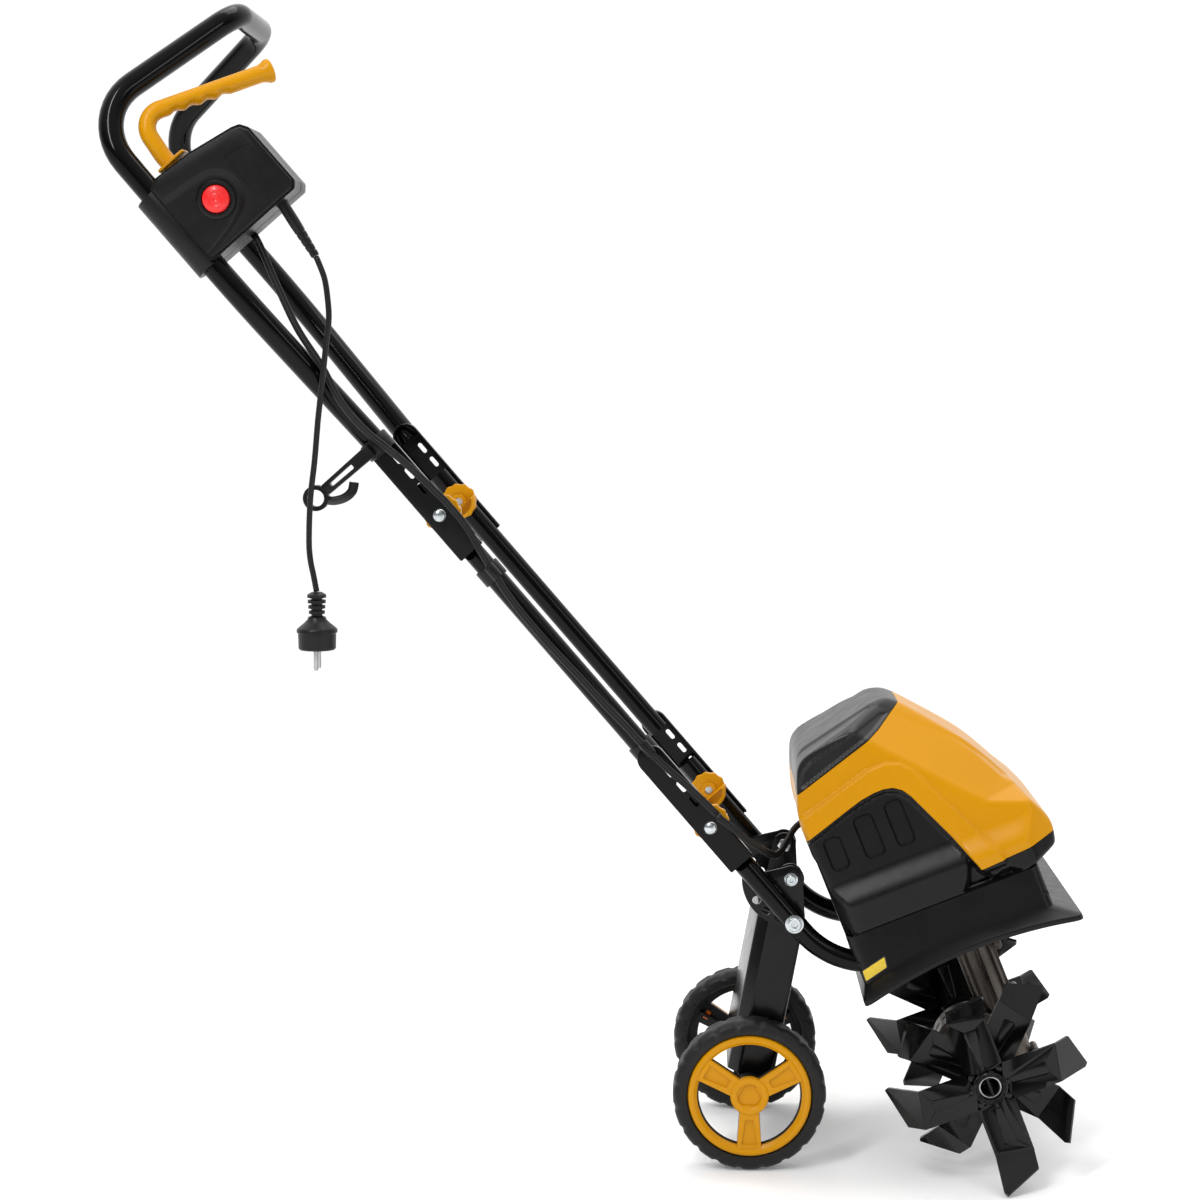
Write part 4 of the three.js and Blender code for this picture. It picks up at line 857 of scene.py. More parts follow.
def wheel_cover():
    """The yellow cover: a rounded rim, three hollowed spokes and a dished hub."""
    top = WHEEL_HALF
    cover = lathe("cover", [(64.4, 7.6), (64.4, 13), (63.2, top - 1), (61, top), (58, top - 0.6),
                            (56, top - 2.6), (54.6, 12.2), (54.6, 7.6)], 128)
    hub = lathe("hub", [(0, 8.6), (20, 8.6), (20, top - 1.4), (18.8, top), (14, top), (12.6, top - 1),
                        (12, top - 4), (0, top - 4)], 64)
    union(cover, hub)
    for turn in thirds():
        arm = soften(spoke("arm", 9.5, 13, 10, 57, 7.8, 14.6, turn), 1.2, 3)
        pocket = soften(spoke("pocket", 4.6, 8.2, 25, 52, 12.2, 18, turn), 1.2, 3)
        union(cover, cut(arm, pocket))
    return cut(cover, rod("socket", 17.3, 0, 8.4, 0, 0, 48))


def at_wheel(obj, sign):
    """Moves a piece drawn for the left wheel to either wheel."""
    mirrored(obj, -sign)
    obj.data.transform(Matrix.Translation((0, sign * WHEEL_Y, 0)))
    return obj


def add_wheels():
    for side, sign in SIDES.items():
        fit(at_wheel(wheel_body(), sign), f"road_wheel_{side}", WHEEL, f"wheel_{side}", 32,
            FINISHES["wheel_moulding"])
        fit(at_wheel(wheel_cover(), sign), f"hub_cover_{side}", WHEEL, f"wheel_cover_{side}", 32)
        add_snap_tabs(side, sign)


def add_snap_tabs(side, sign):
    """The cover's hooks, which show on the inner face of each spoke."""
    for number, turn in enumerate(thirds(), start=1):
        tab = soften(spoke("tab", 5, 5, 46, 52, 0.6, 2.9, turn), 0.6, 2)
        at_wheel(tab, sign).name = f"cover_hook_{side}_{number}"
        extra(placed(tab, WHEEL), f"road_wheel_{side}", "yellow_plastic", FINISHES["snap_tabs"])


add_wheels()

# ---- motor covers
SIDE_PROFILE = [
    (-81, 189.3), (123, 189.3), (156, 197), (161, 214), (160, 230), (150, 250), (137, 281), (103, 338),
    (68, 378), (60, 388), (49, 395), (32, 397.5), (11, 393), (-53, 379), (-67, 366), (-74, 343), (-81, 326),
]
HOUSING_SEAM = [
    (-95, 293), (-82, 294.5), (-27, 311), (-14, 314.6), (0, 316.6), (11, 316.8), (21, 314.6),
    (29, 309), (35, 300), (58, 248), (74, 206), (180, 211.8),
]
CAP_SEAM = [(-95, 330), (-74, 342), (29.7, 372), (62.6, 386.7), (80, 399)]
COVER_MIDDLE = (35.0, 0.0, 285.0)
COVER_LOW, COVER_HIGH = (-81.0, -118.0, 189.0), (161.0, 118.0, 398.0)
COVER_STEP = 1.8
SHELL = 4.2
EDGE_BLEND = 1.5
HOOD_BAND = [
    (-95, 290), (-82, 291), (-27, 308), (0, 313), (12, 313), (24, 308), (33, 298), (56, 246), (73, 202),
    (101, 203), (99, 214), (46, 325), (36, 335), (22, 341), (5, 341), (-21, 334), (-95, 314),
]
HOUSING_RECESS = [(61, 250), (62, 216), (56, 202), (44, 186), (122, 186), (102, 199), (84, 196), (75, 206)]
CAP_PANEL = [(-69, 348), (-60, 362), (-48, 369), (14, 382), (38, 385), (46, 382), (28, 375), (-66, 347)]
FLANK_Y, FLANK_FOOT, FLANK_LEAN = 112.0, 245.0, 0.118    # a flank leans inwards above its foot


def smooth_max(distances, blend):
    top = np.max(distances, axis=0)
    return top + blend * np.log(np.sum(np.exp((distances - top) / blend), axis=0))


def smooth_step(value):
    t = np.clip(value, 0, 1)
    return t * t * (3 - 2 * t)


def depth_inside(x, z, outline):
    """How far side-view points lie inside an outline. Negative outside."""
    nearest = np.full(x.shape, 1e6)
    inside = np.zeros(x.shape, bool)
    for (ax, az), (bx, bz) in zip(outline, outline[1:] + outline[:1]):
        ex, ez = bx - ax, bz - az
        along = np.clip(((x - ax) * ex + (z - az) * ez) / (ex * ex + ez * ez), 0, 1)
        nearest = np.minimum(nearest, np.hypot(x - ax - along * ex, z - az - along * ez))
        crosses = (az > z) != (bz > z)
        inside ^= crosses & (x < ax + (z - az) * ex / (ez or 1e-9))
    return np.where(inside, nearest, -nearest)


def plane(x, y, z, through, normal):
    length = math.sqrt(sum(n * n for n in normal))
    return sum((p - q) * n / length for p, q, n in zip((x, y, z), through, normal))


def cover_field(x, y, z):
    """Distance outside the covers' faceted form, with every edge blended."""
    half = np.abs(y)
    walls = []
    for (ax, az), (bx, bz) in zip(SIDE_PROFILE[1:], SIDE_PROFILE[2:] + SIDE_PROFILE[:1]):
        walls.append(plane(x, 0, z, (ax, 0, az), (bz - az, 0, ax - bx)))
    flank = FLANK_Y - FLANK_LEAN * np.maximum(z - FLANK_FOOT, 0) + 13.4 * smooth_step((FLANK_FOOT - z) / 28)
    walls.append(half - flank)
    walls.append(plane(x, half, z, (0, 93, 384), (0, 0.62, 0.78)))
    walls.append(plane(x, half, z, (-78, 113, 0), (-0.75, 0.66, 0)))
    walls.append(plane(x, half, z, (146, 110, 0), (0.68, 0.73, 0)))
    slant = plane(x, half, z, (104, 107, 270), (0.55, 0.62, 0.56))
    ledge = plane(x, half, z, (104, 109, 268), (0.33, 0.35, 0.88))
    walls.append(np.minimum(slant, ledge))
    return np.maximum(smooth_max(np.array(walls), EDGE_BLEND), SIDE_PROFILE[0][1] - z)


def box_grid():
    """Rows of points round a box from the middle of its floor to the middle of its top."""
    (x0, y0, z0), (x1, y1, z1) = COVER_LOW, COVER_HIGH
    corners = [Vector(c) for c in ((x0, y0), (x1, y0), (x1, y1), (x0, y1), (x0, y0))]
    plan = np.array(evenly(corners, COVER_STEP)[:-1])
    middle = np.array(COVER_MIDDLE[:2])
    rows = []
    for share in np.linspace(0.02, 1, 34)[:-1]:
        rows.append((middle + (plan - middle) * share, z0))
    for height in np.arange(z0, z1, COVER_STEP):
        rows.append((plan, height))
    for share in np.linspace(1, 0.02, 60):
        rows.append((middle + (plan - middle) * share, z1))
    return np.array([np.column_stack([flat, np.full(len(flat), z)]) for flat, z in rows])


def cover_points(inset):
    """Where rays from the middle meet the form, then the flanks' relief."""
    middle = np.array(COVER_MIDDLE)
    rays = box_grid() - middle
    rays /= np.linalg.norm(rays, axis=2, keepdims=True)
    near, far = np.zeros(rays.shape[:2]), np.full(rays.shape[:2], 320.0)
    for _ in range(24):
        reach = (near + far) / 2
        outside = cover_field(*np.moveaxis(middle + rays * reach[..., None], 2, 0)) + inset > 0
        far = np.where(outside, reach, far)
        near = np.where(outside, near, reach)
    x, y, z = np.moveaxis(middle + rays * near[..., None], 2, 0)
    sideways = np.abs(cover_field(x, y + 0.5, z) - cover_field(x, y - 0.5, z))
    flank = smooth_step((sideways - 0.35) / 0.4)
    relief = 4.0 * smooth_step((depth_inside(x, z, HOOD_BAND) + 2.2) / 4.4)
    relief -= 9 * smooth_step((depth_inside(x, z, HOUSING_RECESS) + 1) / 8)
    relief -= 2.2 * smooth_step((depth_inside(x, z, CAP_PANEL) + 1) / 2.6)
    y = y + np.sign(y) * relief * flank
    spine = 3.2 * smooth_step((np.abs(y) - 50) / 7) * (1 - flank) * smooth_step((z - 268) / 14)
    return np.stack([x - 0.5 * spine, y, z - 0.8 * spine], axis=2)


def cover_block(inset):
    """A closed skin through the rows of points, with a point at each end."""
    grid = cover_points(inset)
    rows, count = grid.shape[:2]
    points = [tuple(p) for p in grid.reshape(-1, 3)]
    first, last = len(points), len(points) + 1
    points += [tuple(grid[0].mean(axis=0)), tuple(grid[-1].mean(axis=0))]
    faces = []
    for i in range(count):
        j = (i + 1) % count
        faces.append([first, j, i])
        faces.append([last, (rows - 1) * count + i, (rows - 1) * count + j])
        for r in range(rows - 1):
            faces.append([r * count + i, r * count + j, (r + 1) * count + j, (r + 1) * count + i])
    return mesh_object("cover_form", points, faces)


def region(seam, side, shift=0.0):
    """Everything below (side -1) or above (side +1) a seam line in the side view."""
    line = [(x, z + shift) for x, z in seam]
    far = 100 if side < 0 else 500
    return prism("region", line + [(line[-1][0], far), (line[0][0], far)], -300, 300)


def add_motor_covers():
    shell = cut(cover_block(0), cover_block(SHELL), block("open", (-76, -117, 150), (118, 117, 195)))
    housing = combine(copy_of(shell), region(HOUSING_SEAM, -1, -0.3), "INTERSECT")
    cap = combine(copy_of(shell), region(CAP_SEAM, 1, 0.3), "INTERSECT")
    hood = cut(shell, region(HOUSING_SEAM, -1, 0.3), region(CAP_SEAM, 1, -0.3))
    cut_vents(housing)
    cut(hood, motor_hole())
    fit(housing, "motor_housing_detail", MOTOR, "motor_housing", 30)
    fit(cap, "hood_cap_detail", MOTOR, "hood_cap", 30, FINISHES["cap_gloss"])
    fit(hood, "hood_detail", MOTOR, "hood_cover", 30)


def motor_hole():
    """The hole in the rear wall where the motor lead goes in."""
    return prism("hole", arc(-74, 309, 4.6, 0, 345, 23), -95, -70, axis="x")


def cut_vents(housing):
    """Three sunk vents with rounded feet and sloping walls on each flank."""
    height = 275
    middle = FLANK_Y - FLANK_LEAN * (height - FLANK_FOOT)
    for low, high, top in ((-66, -50, 288), (-29, -11, 298), (6, 22, 301)):
        outline = rounded([(low, 256), (high, 256), (high, top), (low, top)], 5, 4)
        for sign in (-1, 1):
            face, floor = sign * (middle + 0.2), sign * (middle - 3.4)
            pocket = banked_cutter("vent", outline, 2.4, sign * 140, face, floor, 4)
            pocket.data.transform(lean(sign, middle, height))
            cut(housing, pocket)


def lean(sign, y, z):
    """Tips a flank's pocket so that it follows the flank's slope."""
    pivot = Vector((0, sign * y, z))
    turn = Matrix.Rotation(sign * math.atan(FLANK_LEAN), 4, "X")
    return Matrix.Translation(pivot) @ turn @ Matrix.Translation(-pivot)


add_motor_covers()

# ---- tine guard
GUARD_TOP = 188.8
GUARD_REAR, GUARD_FRONT, GUARD_HALF = -81.0, 130.0, 126.0
BRIM_HALF, BRIM_FRONT, BRIM_LIP, GUARD_WALL = 150.0, 152.0, 6.0, 3.0


def guard_arch(x):
    return 143 - 0.001 * (x - 42) ** 2


def guard_ring(rear, front, half, height, corner=10.0):
    """Points round a rectangle with rounded corners, matched from ring to ring."""
    x0, x1, y0, y1 = rear + corner, front - corner, corner - half, half - corner
    sides = [((x0, -half), (x1, -half), 20), ((front, y0), (front, y1), 8),
             ((x1, half), (x0, half), 20), ((rear, y1), (rear, y0), 8)]
    bends = [(x1, y0, -90), (x1, y1, 0), (x0, y1, 90), (x0, y0, 180)]
    points = []
    for ((ax, ay), (bx, by), steps), (x, y, first) in zip(sides, bends):
        points += [(ax + (bx - ax) * i / steps, ay + (by - ay) * i / steps) for i in range(steps + 1)]
        points += arc(x, y, corner, first + 22.5, first + 67.5, 2)
    return [(x, y, height(x)) for x, y in points]


def guard_shell():
    """The guard's walls and its flared brim, one ring of points after another."""
    rear, front, half, wall = GUARD_REAR, GUARD_FRONT, GUARD_HALF, GUARD_WALL
    rings = [
        guard_ring(rear, front, half, lambda x: GUARD_TOP),
        guard_ring(rear + wall, front - wall, half - wall, lambda x: GUARD_TOP),
        guard_ring(rear + wall, front - wall, half - wall, lambda x: guard_arch(x) + 4),
        guard_ring(rear - 4, BRIM_FRONT - 3, BRIM_HALF - wall, lambda x: guard_arch(x) - 1),
        guard_ring(rear - 4, BRIM_FRONT - 3, BRIM_HALF - wall, lambda x: guard_arch(x) - BRIM_LIP),
        guard_ring(rear - 7, BRIM_FRONT, BRIM_HALF, lambda x: guard_arch(x) - BRIM_LIP),
        guard_ring(rear - 7, BRIM_FRONT, BRIM_HALF, guard_arch),
        guard_ring(rear, front, half, lambda x: guard_arch(x) + 8),
    ]
    faces = ring_faces(len(rings), len(rings[0]), closed=True)
    return soften(mesh_object("guard", sum(rings, []), faces), 1.0, 2, 25)


def add_tine_guard():
    guard = guard_shell()
    floor = block("floor", (GUARD_REAR + 1, -GUARD_HALF + 1, 157), (GUARD_FRONT - 1, GUARD_HALF - 1, 160))
    cut(floor, rod("hole", 26, 150, 170, 40, 0, 48, axis="z"))
    union(guard, floor)
    into_motor = MOTOR.inverted() @ MACHINE
    for sign in (-1, 1):
        path = [into_motor @ Vector((x, sign * TUBE_Y, z)) for x, z in tube_tail()]
        cut(guard, sweep("tube_room", path, TUBE_RADIUS + 0.9, 24))
    fit(guard, "tine_guard_detail", MOTOR, "tine_guard", 30)


def tube_tail():
    """The frame tube's line in the side view, from the lock bolt to its end."""
    drop = (LOCK_BOLT[1] - TAIL_HEIGHT) / math.sin(TUBE_SLOPE)
    corner = MACHINE.inverted() @ on_handle(0, 0, -drop)
    corners = [(LOCK_BOLT[0], 0, LOCK_BOLT[1]), (corner.x, 0, corner.z), (160, 0, TAIL_HEIGHT)]
    return [(p.x, p.z) for p in bent_path(corners, [TAIL_BEND], 12)]


def add_label():
    """A blank yellow sticker with a dark border on the guard's right flank."""
    outline = [(-79.5, 139), (-52, 146), (-50, 159), (-79, 152)]
    border = prism("sticker_border", rounded(outline, 1.5, 3), -126.25, -125.6)
    extra(placed(border, MOTOR), "frame", "black_plastic", FINISHES["label_border"])
    middle = (-65.1, 149)
    inner = [(middle[0] + (x - middle[0]) * 0.9, middle[1] + (z - middle[1]) * 0.84) for x, z in outline]
    film = prism("sticker_film", rounded(inner, 1, 3), -126.4, -126.1)
    extra(placed(film, MOTOR), "frame", "yellow_plastic", FINISHES["label_film"])


add_tine_guard()
add_label()

# ---- tines
TINE_SHEET, TINE_HALF, TINE_CREASE, TINE_BEND = 3.0, 20.0, 70.0, 48.0
OUTER_TINE_Y, INNER_TINE_Y = 155.0, 110.0
TINE_HUB = 17.0
SHAFT_RADIUS, PIN_HOLE = 12.0, 2.8


def tine_blade(outward):
    """One arm along +X with a raised rib, and its pointed tip folded out of the plane."""
    half, crease, thick = TINE_HALF, TINE_CREASE, TINE_SHEET / 2
    outline = [(6, -half + 4), (20, -half), (crease, -half), (crease + 7, half), (20, half), (6, half - 4)]
    arm = prism("arm", outline, -thick, thick)
    outline = [(-1.2, -half), (43, -half), (47.5, -half + 3), (23, half), (-1.2, half)]
    tip = prism("tip", outline, -thick, thick)
    tip.data.transform(Matrix.Rotation(outward * math.radians(TINE_BEND), 4, "Z"))
    tip.data.transform(Matrix.Rotation(math.atan2(7, 2 * half), 4, "Y"))
    tip.data.transform(Matrix.Translation((crease + 3.5, 0, 0)))
    union(arm, tip)
    rib = prism("rib", rounded([(22, -3), (62, -7), (62, 7), (22, 3)], 3, 3), -thick - 0.9, thick + 0.9)
    return union(arm, soften(rib, 0.8, 2))


def tine_star(turn, outer):
    """Four blades round a hub, every second one folded the other way."""
    half = 9
    star = lathe("star", [(12.5, -half), (TINE_HUB - 1, -half), (TINE_HUB, -half + 1),
                          (TINE_HUB, half - 1), (TINE_HUB - 1, half), (12.5, half)], 48)
    for i in range(4):
        blade = tine_blade(1 if i % 2 == 0 else -1)
        blade.data.transform(Matrix.Rotation(-(turn + math.pi / 2 * i), 4, "Y"))
        union(star, blade)
    for i in range(4):
        angle = turn + math.pi / 4 + math.pi / 2 * i
        plate = rod("dimple", 3.4, -2.3, 2.3, 21 * math.cos(angle), 21 * math.sin(angle), 20)
        union(star, soften(plate, 0.8, 2))
    cut(star, rod("bore", SHAFT_RADIUS + 0.5, -30, 30, 0, 0, 40))
    if outer:
        cut(star, rod("pin_hole", PIN_HOLE, -24.3, 24.3, 0, 0, 20, axis="z"))
    return soften(star, 0.5, 2, 40)


def add_tine_shaft():
    shaft = lathe("tine_axle", [(10, -158), (11.4, -158), (SHAFT_RADIUS, -157.2), (SHAFT_RADIUS, 157.2),
                                (11.4, 158), (10, 158)], 48)
    for sign in (-1, 1):
        cut(shaft, rod("pin_hole", PIN_HOLE, -30, 30, 0, sign * OUTER_TINE_Y, 20, axis="z"))
    fit(shaft, "tine_axle", MOTOR, "tine_shaft", 40)
    for side, sign in SIDES.items():
        pin = lathe("pin", [(0, -24), (1.9, -24), (2.5, -23.3), (2.5, 23.3), (1.9, 24), (0, 24)], 24,
                    0, sign * OUTER_TINE_Y, axis="z")
        fit(pin, f"hub_pin_{side}", MOTOR, f"tine_pin_{side}", 40, FINISHES["tine_steel"])


def add_tines():
    for side, sign in SIDES.items():
        base = math.radians(21 if sign < 0 else 66) - MOTOR_TILT
        for name, y, turn in (("outer", OUTER_TINE_Y, base), ("inner", INNER_TINE_Y, base + math.pi / 4)):
            star = mirrored(tine_star(turn, name == "outer"), sign)
            star.data.transform(Matrix.Translation((0, sign * y, 0)))
            star.name = f"{name}_blades_{side}"
            stand_in(placed(star, MOTOR), f"{name}_tine_{side}")


add_tines()
add_tine_shaft()


# ---- gear case
WORM_X, CASE_TOP, CASE_SEAM = 40.0, 156.7, 0.15


def gear_case_half():
    """Half of the cast case: the worm wheel's round room, the worm's column, ribs and a flange."""
    body = rod("case", 42, CASE_SEAM, 21, 0, 0, 64)
    soften(body, 3, 3)
    column = rod("column", 17.6, -44, CASE_TOP, WORM_X, 0, 48, axis="z")
    soften(column, 1.5, 2)
    flange = soften(rod("flange", 32, CASE_TOP - 6, CASE_TOP, WORM_X, 0, 48, axis="z"), 1, 2)
    union(body, column, flange)
    for angle in (0, 40, 80, 100, 140, 180):
        rib = block("rib", (14, -1.6, 20), (21, 1.6, 152))
        turn = Matrix.Rotation(math.radians(angle), 4, "Z")
        rib.data.transform(Matrix.Translation((WORM_X, 0, 0)) @ turn)
        union(body, soften(rib, 0.8, 2))
    combine(body, block("keep", (-80, CASE_SEAM, -80), (120, 60, 200)), "INTERSECT")
    cut(body, rod("wheel_room", 34, -1, 9, 0, 0, 48),
        rod("worm_room", 15.5, -34, 160, WORM_X, 0, 32, axis="z"),
        rod("bearing_room", 20.6, -1, 30, 0, 0, 48))
    for x, z in ((-34, -16), (-36, 12), (-20, 32), (60, -30), (64, 40), (64, 95)):
        boss = rod("boss", 4.6, CASE_SEAM, 14, x, z, 24)
        union(body, soften(boss, 0.8, 2))
    return body


for side_name, side_sign in SIDES.items():
    fit(mirrored(gear_case_half(), -side_sign), f"gear_case_detail_{side_name}", MOTOR,
        f"gear_case_{side_name}")

# ---- switch box
BOX_FACE, BOX_SPLIT, BOX_BACK = -197.0, -161.0, -125.0
BOX_BOTTOM, BOX_TOP = 889.0, 983.0
BUTTON = (47.0, 931.6)
LEVER_Y, LEVER_RADIUS = -164.0, 8.8
LEVER_PIVOT = (34.0, 968.0)


def box_outline(inset=0.0):
    low, high = BOX_BOTTOM + inset, BOX_TOP - inset
    return [(3.4 + inset, low), (112 - inset, low), (117.5 - inset, low + 6), (117 - inset, high - 20),
            (112 - inset, high - 12), (104 - inset, high - 9), (56, high), (15 + inset, high + 3),
            (3.4 + inset, high - 2)]


def shell_room():
    """What both shells leave free: the handle tube and the lever's slot."""
    return handle_bore(), block("slot", (14, -177, 960), (52, -151, 1010))


def handle_bore():
    return sweep("bore", handle_path(8), HANDLE_RADIUS + BORE_GAP, 28)


def button_tongue():
    """The low area that runs from the handle tube round the button."""
    x, z = BUTTON
    outline = [(-12, 897), (15, 900.5), (38, 904.5)]
    outline += arc(x, z, 22.5, -70, 92, 16)
    outline += [(42, 955.4), (4.7, 959.6), (-12, 961)]
    return banked_cutter("tongue", outline, 8.0, BOX_FACE - 12, BOX_FACE - 2.7, BOX_FACE + 1)


def front_shell():
    """The outer half: a raised field round the button's low tongue, with a blank sunk panel."""
    shell = prism("front", rounded(box_outline(), 4, 4), BOX_FACE + 1.6, BOX_SPLIT)
    field = prism("field", rounded(box_outline(2.0), 5, 4), BOX_FACE - 2.5, BOX_FACE + 6)
    soften(field, 1.6, 3, 40)
    cut(field, button_tongue())
    panel = prism("panel", rounded([(80, 908), (106, 908), (106, 952), (80, 958)], 4, 4),
                  BOX_FACE - 8, BOX_FACE - 1.9)
    cut(field, panel)
    lobe = lathe("lobe", [(14.3, 6), (14.3, -1.2), (15.2, -1.8), (17.2, -1.8), (19.4, -0.4), (20.4, 1.4),
                          (20.4, 6)], 64, *BUTTON, base=BOX_FACE)
    union(shell, field, lobe)
    cut(shell, prism("hollow", rounded(box_outline(5), 3, 3), BOX_FACE + 6, BOX_SPLIT + 3))
    union(shell, block("saddle", (4, BOX_FACE + 4, BOX_BOTTOM + 0.6), (17, BOX_SPLIT, BOX_TOP - 6)))
    return cut(shell, *shell_room(), rod("hole", 14.2, BOX_FACE - 4, BOX_FACE + 9, *BUTTON, 64),
               rod("relief", 6.7, 870, 900, 91.3, -171, 32, axis="z"))


def rear_shell():
    shell = prism("rear", rounded(box_outline(), 4, 4), BOX_SPLIT + 0.4, BOX_BACK)
    soften(shell, 2.0, 3, 40)
    hollow = prism("hollow", rounded(box_outline(3.4), 3, 3), BOX_SPLIT - 3, BOX_BACK - 3)
    cut(shell, hollow, *shell_room(), rod("cable", 3.3, 870, 900, 47, -147, 24, axis="z"))
    for x, z in ((14, 899), (104, 897), (106, 964), (20, 972)):
        cut(shell, lathe("screw_room", [(0, -5), (3.6, -5), (3.6, 3), (0, 3)], 24, x, z, base=BOX_BACK))
    return shell


def add_switch_box():
    fit(front_shell(), "switch_shell_front", HANDLE, "switch_box_front", 32)
    fit(rear_shell(), "switch_shell_rear", HANDLE, "switch_box_rear", 32)
    clamp = rod("clamp", 18.6, BOX_BOTTOM - 2, BOX_TOP - 4, 0, -177.8, 64, axis="z")
    soften(clamp, 1.0, 3)
    combine(clamp, block("half", (-30, -210, BOX_BOTTOM - 4), (3.2, -140, BOX_TOP)), "INTERSECT")
    cut(clamp, handle_bore())
    fit(clamp, "handle_clamp", HANDLE, "tube_clamp", 32)


def add_button():
    """The red button, with two shallow rings pressed into its face."""
    profile = [(0, 0.3), (2.2, 0.3), (2.8, -0.3), (4.4, -0.3), (5.0, 0.4), (6.6, 0.4), (7.2, -0.3),
               (8.8, -0.3), (9.4, 0.3), (11.6, 0.5), (13.0, 1.5), (13.6, 3), (13.6, 15.5), (0, 15.5)]
    button = lathe("stop_button", profile, 64, *BUTTON, base=BOX_FACE - 4.5)
    fit(button, "stop_button", HANDLE, "safety_button", 50)


def press_finger_grooves(lever, path, sides):
    """Four shallow waves along the underside of the grip."""
    first, pitch, count, depth = 98.0, 17.0, 4, 2.6
    travelled = 0.0
    for i, point in enumerate(path):
        if i:
            travelled += (point - path[i - 1]).length
        share = (travelled - first) / pitch
        if not 0 < share < count:
            continue
        wave = depth * (0.5 - 0.5 * math.cos(2 * math.pi * share))
        for vertex in lever.data.vertices[i * sides:(i + 1) * sides]:
            out = (vertex.co - point).normalized()
            vertex.co -= out * wave * max(0.0, -out.z) ** 1.5


def add_lever():
    """The bent yellow hand lever, with its flared end, its collar and its pivot in the box."""
    pivot_x, pivot_z = LEVER_PIVOT
    corners = [(pivot_x, LEVER_Y, pivot_z), (31, LEVER_Y, 1000), (37, LEVER_Y, 1048), (164, -111, 1005.6)]
    path = evenly(bent_path(corners, [60, 20], 16), 1.2)
    sides = 44
    lever = sweep("lever", path, LEVER_RADIUS, sides)
    press_finger_grooves(lever, path, sides)
    along = (path[-1] - path[-4]).normalized()
    bell = [(0, -9), (8.4, -9), (9.6, -4), (12, 1), (12, 4.4), (10.6, 5.6), (0, 6)]
    flare = lathe("flare", bell, 40, axis="z")
    turn = Vector((0, 0, 1)).rotation_difference(along).to_matrix().to_4x4()
    flare.data.transform(Matrix.Translation(path[-1] - along * 4) @ turn)
    hub = rod("hub", 10, LEVER_Y - 9, LEVER_Y + 9, pivot_x, pivot_z, 40)
    stubs = rod("stubs", 3, LEVER_Y - 13, LEVER_Y + 13, pivot_x, pivot_z, 24)
    plate = [(19, LEVER_Y - 15), (52, LEVER_Y - 15), (52, LEVER_Y + 15), (19, LEVER_Y + 15)]
    collar = prism("collar", rounded(plate, 5, 4), 990.5, 993.5, axis="z")
    union(lever, flare, hub, stubs, soften(collar, 0.9, 2))
    fit(lever, "hand_lever", HANDLE, "switch_lever", 38)


add_switch_box()
add_button()
add_lever()


# ---- lead holder and clips
def add_lead_holder():
    """A band on the handle tube, with a slotted arm, a ring for the lead and an open hook."""
    at, y0, y1, ring_at = 651.0, -153.0, -140.0, -80.0
    tube_y = -(128 + (at - UPPER_FOLD - TUBE_START) * (181 - 128) / (290 - TUBE_START))
    holder = rod("band", HANDLE_RADIUS + 3.4, at - 9, at + 9, 0, tube_y, 40, axis="z")
    soften(holder, 1.0, 2)
    outline = [(-6, at - 7), (-6, at + 7), (ring_at + 12, at + 6), (ring_at + 12, at - 6)]
    arm = soften(prism("arm", rounded(outline, 2, 3), y0 + 0.5, y1 - 0.5), 1.0, 2)
    slot = [(-30, at - 2.5), (-60, at - 2), (-60, at + 2), (-30, at + 2.5)]
    cut(arm, prism("slot", rounded(slot, 2, 4), y0 - 2, y1 + 2))
    ring = lathe("ring", [(8.5, y0 + 0.8), (9.3, y0), (12.2, y0), (13, y0 + 0.8), (13, y1 - 0.8),
                          (12.2, y1), (9.3, y1), (8.5, y1 - 0.8)], 48, ring_at, at)
    middle = (y0 + y1) / 2
    line = [(ring_at + 6, at - 8), (-68, at - 14), (-58, at - 18.6), (-48, at - 18.4), (-40.5, at - 13)]
    section = rounded([(-2.3, -5.4), (2.3, -5.4), (2.3, 5.4), (-2.3, 5.4)], 1.2, 3)
    hook = sweep("hook", smooth_path([(x, middle, z) for x, z in line], 2.0), 1.0, section=section)
    union(holder, arm, ring, hook)
    half = CHANNEL_HALF + 1
    socket = block("socket", (-half, -CHANNEL_OUTER - 0.5, at - 40), (half, 0, at + 40))
    cut(holder, handle_bore(), socket)
    fit(holder, "lead_holder", HANDLE, "cord_hook")


def add_cable_clips():
    """Two plastic clips that hold the motor lead to the right-hand middle tube."""
    for number, (at, lead_across) in enumerate(((478, 4.0), (238, 4.5)), start=1):
        clip = rod("clip", TUBE_RADIUS + 2.4, at - 9, at + 9, 0, -TUBE_Y, 40, axis="z")
        soften(clip, 1.0, 2)
        eye = rod("eye", 5.6, at - 8, at + 8, lead_across, -125.5, 28, axis="z")
        union(clip, soften(eye, 1.0, 2))
        cut(clip, rod("tube_room", TUBE_RADIUS + 0.2, at - 12, at + 12, 0, -TUBE_Y, 40, axis="z"))
        cut(clip, block("gap", (-8, -TUBE_Y + 4, at - 12), (8, -TUBE_Y + 30, at + 12)))
        clip.name = f"cable_clip_{number}"
        extra(placed(shade(clip, 35), HANDLE), "middle_section", "black_plastic")


add_lead_holder()
add_cable_clips()


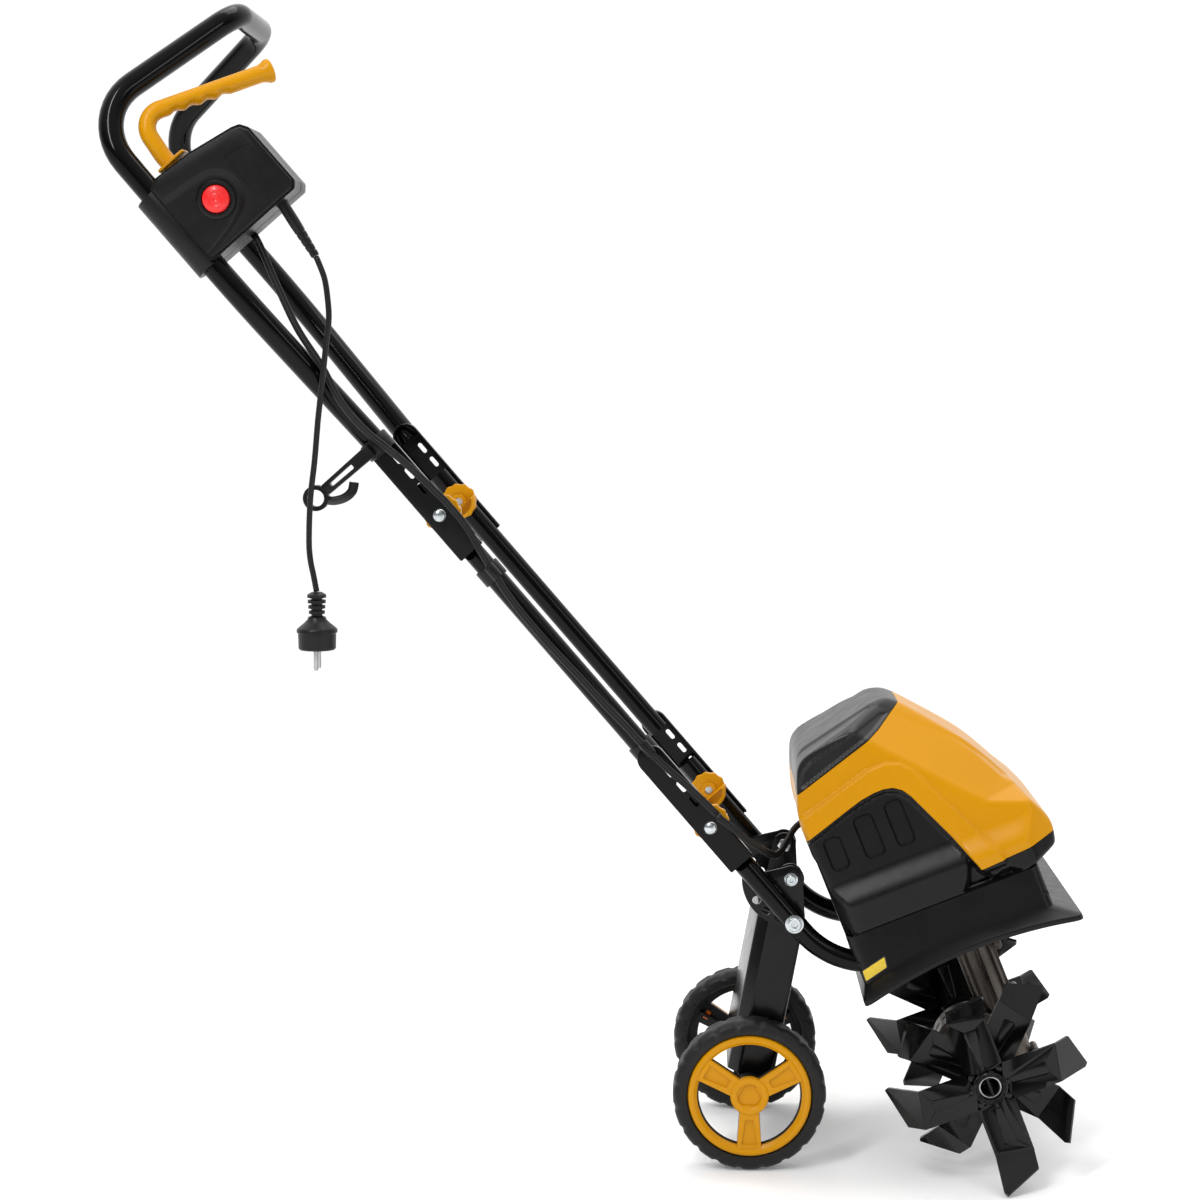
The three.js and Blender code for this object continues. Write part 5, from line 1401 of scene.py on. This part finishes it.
# ---- studio
def add_area(name, location, size, energy, aim):
    data = bpy.data.lights.new(name, "AREA")
    data.shape = "RECTANGLE"
    data.size, data.size_y = size
    data.energy = energy
    lamp = bpy.data.objects.new(name, data)
    bpy.context.scene.collection.objects.link(lamp)
    lamp.location = location
    lamp.rotation_euler = (Vector(aim) - Vector(location)).to_track_quat("-Z", "Y").to_euler()


SKY_FRONT, SKY_REAR, SKY_OVERHEAD = 0.13, 1.03, 0.75
FLOOR_REACH, FLOOR_GLOW = 40.0, 0.09


def add_sky():
    """Even white light, brightest from behind and above the machine, dimmer from the front."""
    world = bpy.data.worlds.new("studio")
    world.use_nodes = True
    tree = world.node_tree
    sky = tree.nodes["Background"]
    sky.inputs["Color"].default_value = (1, 1, 1, 1)
    direction = tree.nodes.new("ShaderNodeTexCoord")
    split = tree.nodes.new("ShaderNodeSeparateXYZ")
    tree.links.new(direction.outputs["Generated"], split.inputs["Vector"])
    both = tree.nodes.new("ShaderNodeMath")
    both.operation = "ADD"
    tree.links.new(ramp(tree, split.outputs["Y"], SKY_FRONT, SKY_REAR, -0.2, 0.5), both.inputs[0])
    tree.links.new(ramp(tree, split.outputs["Z"], 0.0, SKY_OVERHEAD, 0.2, 0.9), both.inputs[1])
    tree.links.new(both.outputs["Value"], sky.inputs["Strength"])
    bpy.context.scene.world = world


def add_floor():
    far = FLOOR_REACH
    corners = [(-far, -far), (far, -far), (far, far), (-far, far)]
    floor = mesh_object("studio_floor", [(x, y, -0.0005) for x, y in corners], [[0, 1, 2, 3]], smooth=False)
    pale = make_finish("studio_pale", (0.93, 0.93, 0.93), (0.92, 0.92, 0.92), (0.7, 0.8), 0.0, 0, 0, patch=1)
    glow = pale.node_tree.nodes["Principled BSDF"]
    glow.inputs["Emission Color"].default_value = (1, 1, 1, 1)
    glow.inputs["Emission Strength"].default_value = FLOOR_GLOW
    paint(floor, pale)


def add_studio():
    add_floor()
    add_sky()
    middle = (0, 0, 0.6)
    add_area("key", (-1.3, -2.3, 3.0), (0.3, 2.4), 62, middle)
    add_area("fill", (2.4, -2.2, 1.5), (0.3, 2.4), 12, middle)
    add_area("top", (0.3, 0.5, 3.4), (2.2, 1.2), 26, middle)
    bpy.context.scene.view_settings.view_transform = "Standard"


add_studio()
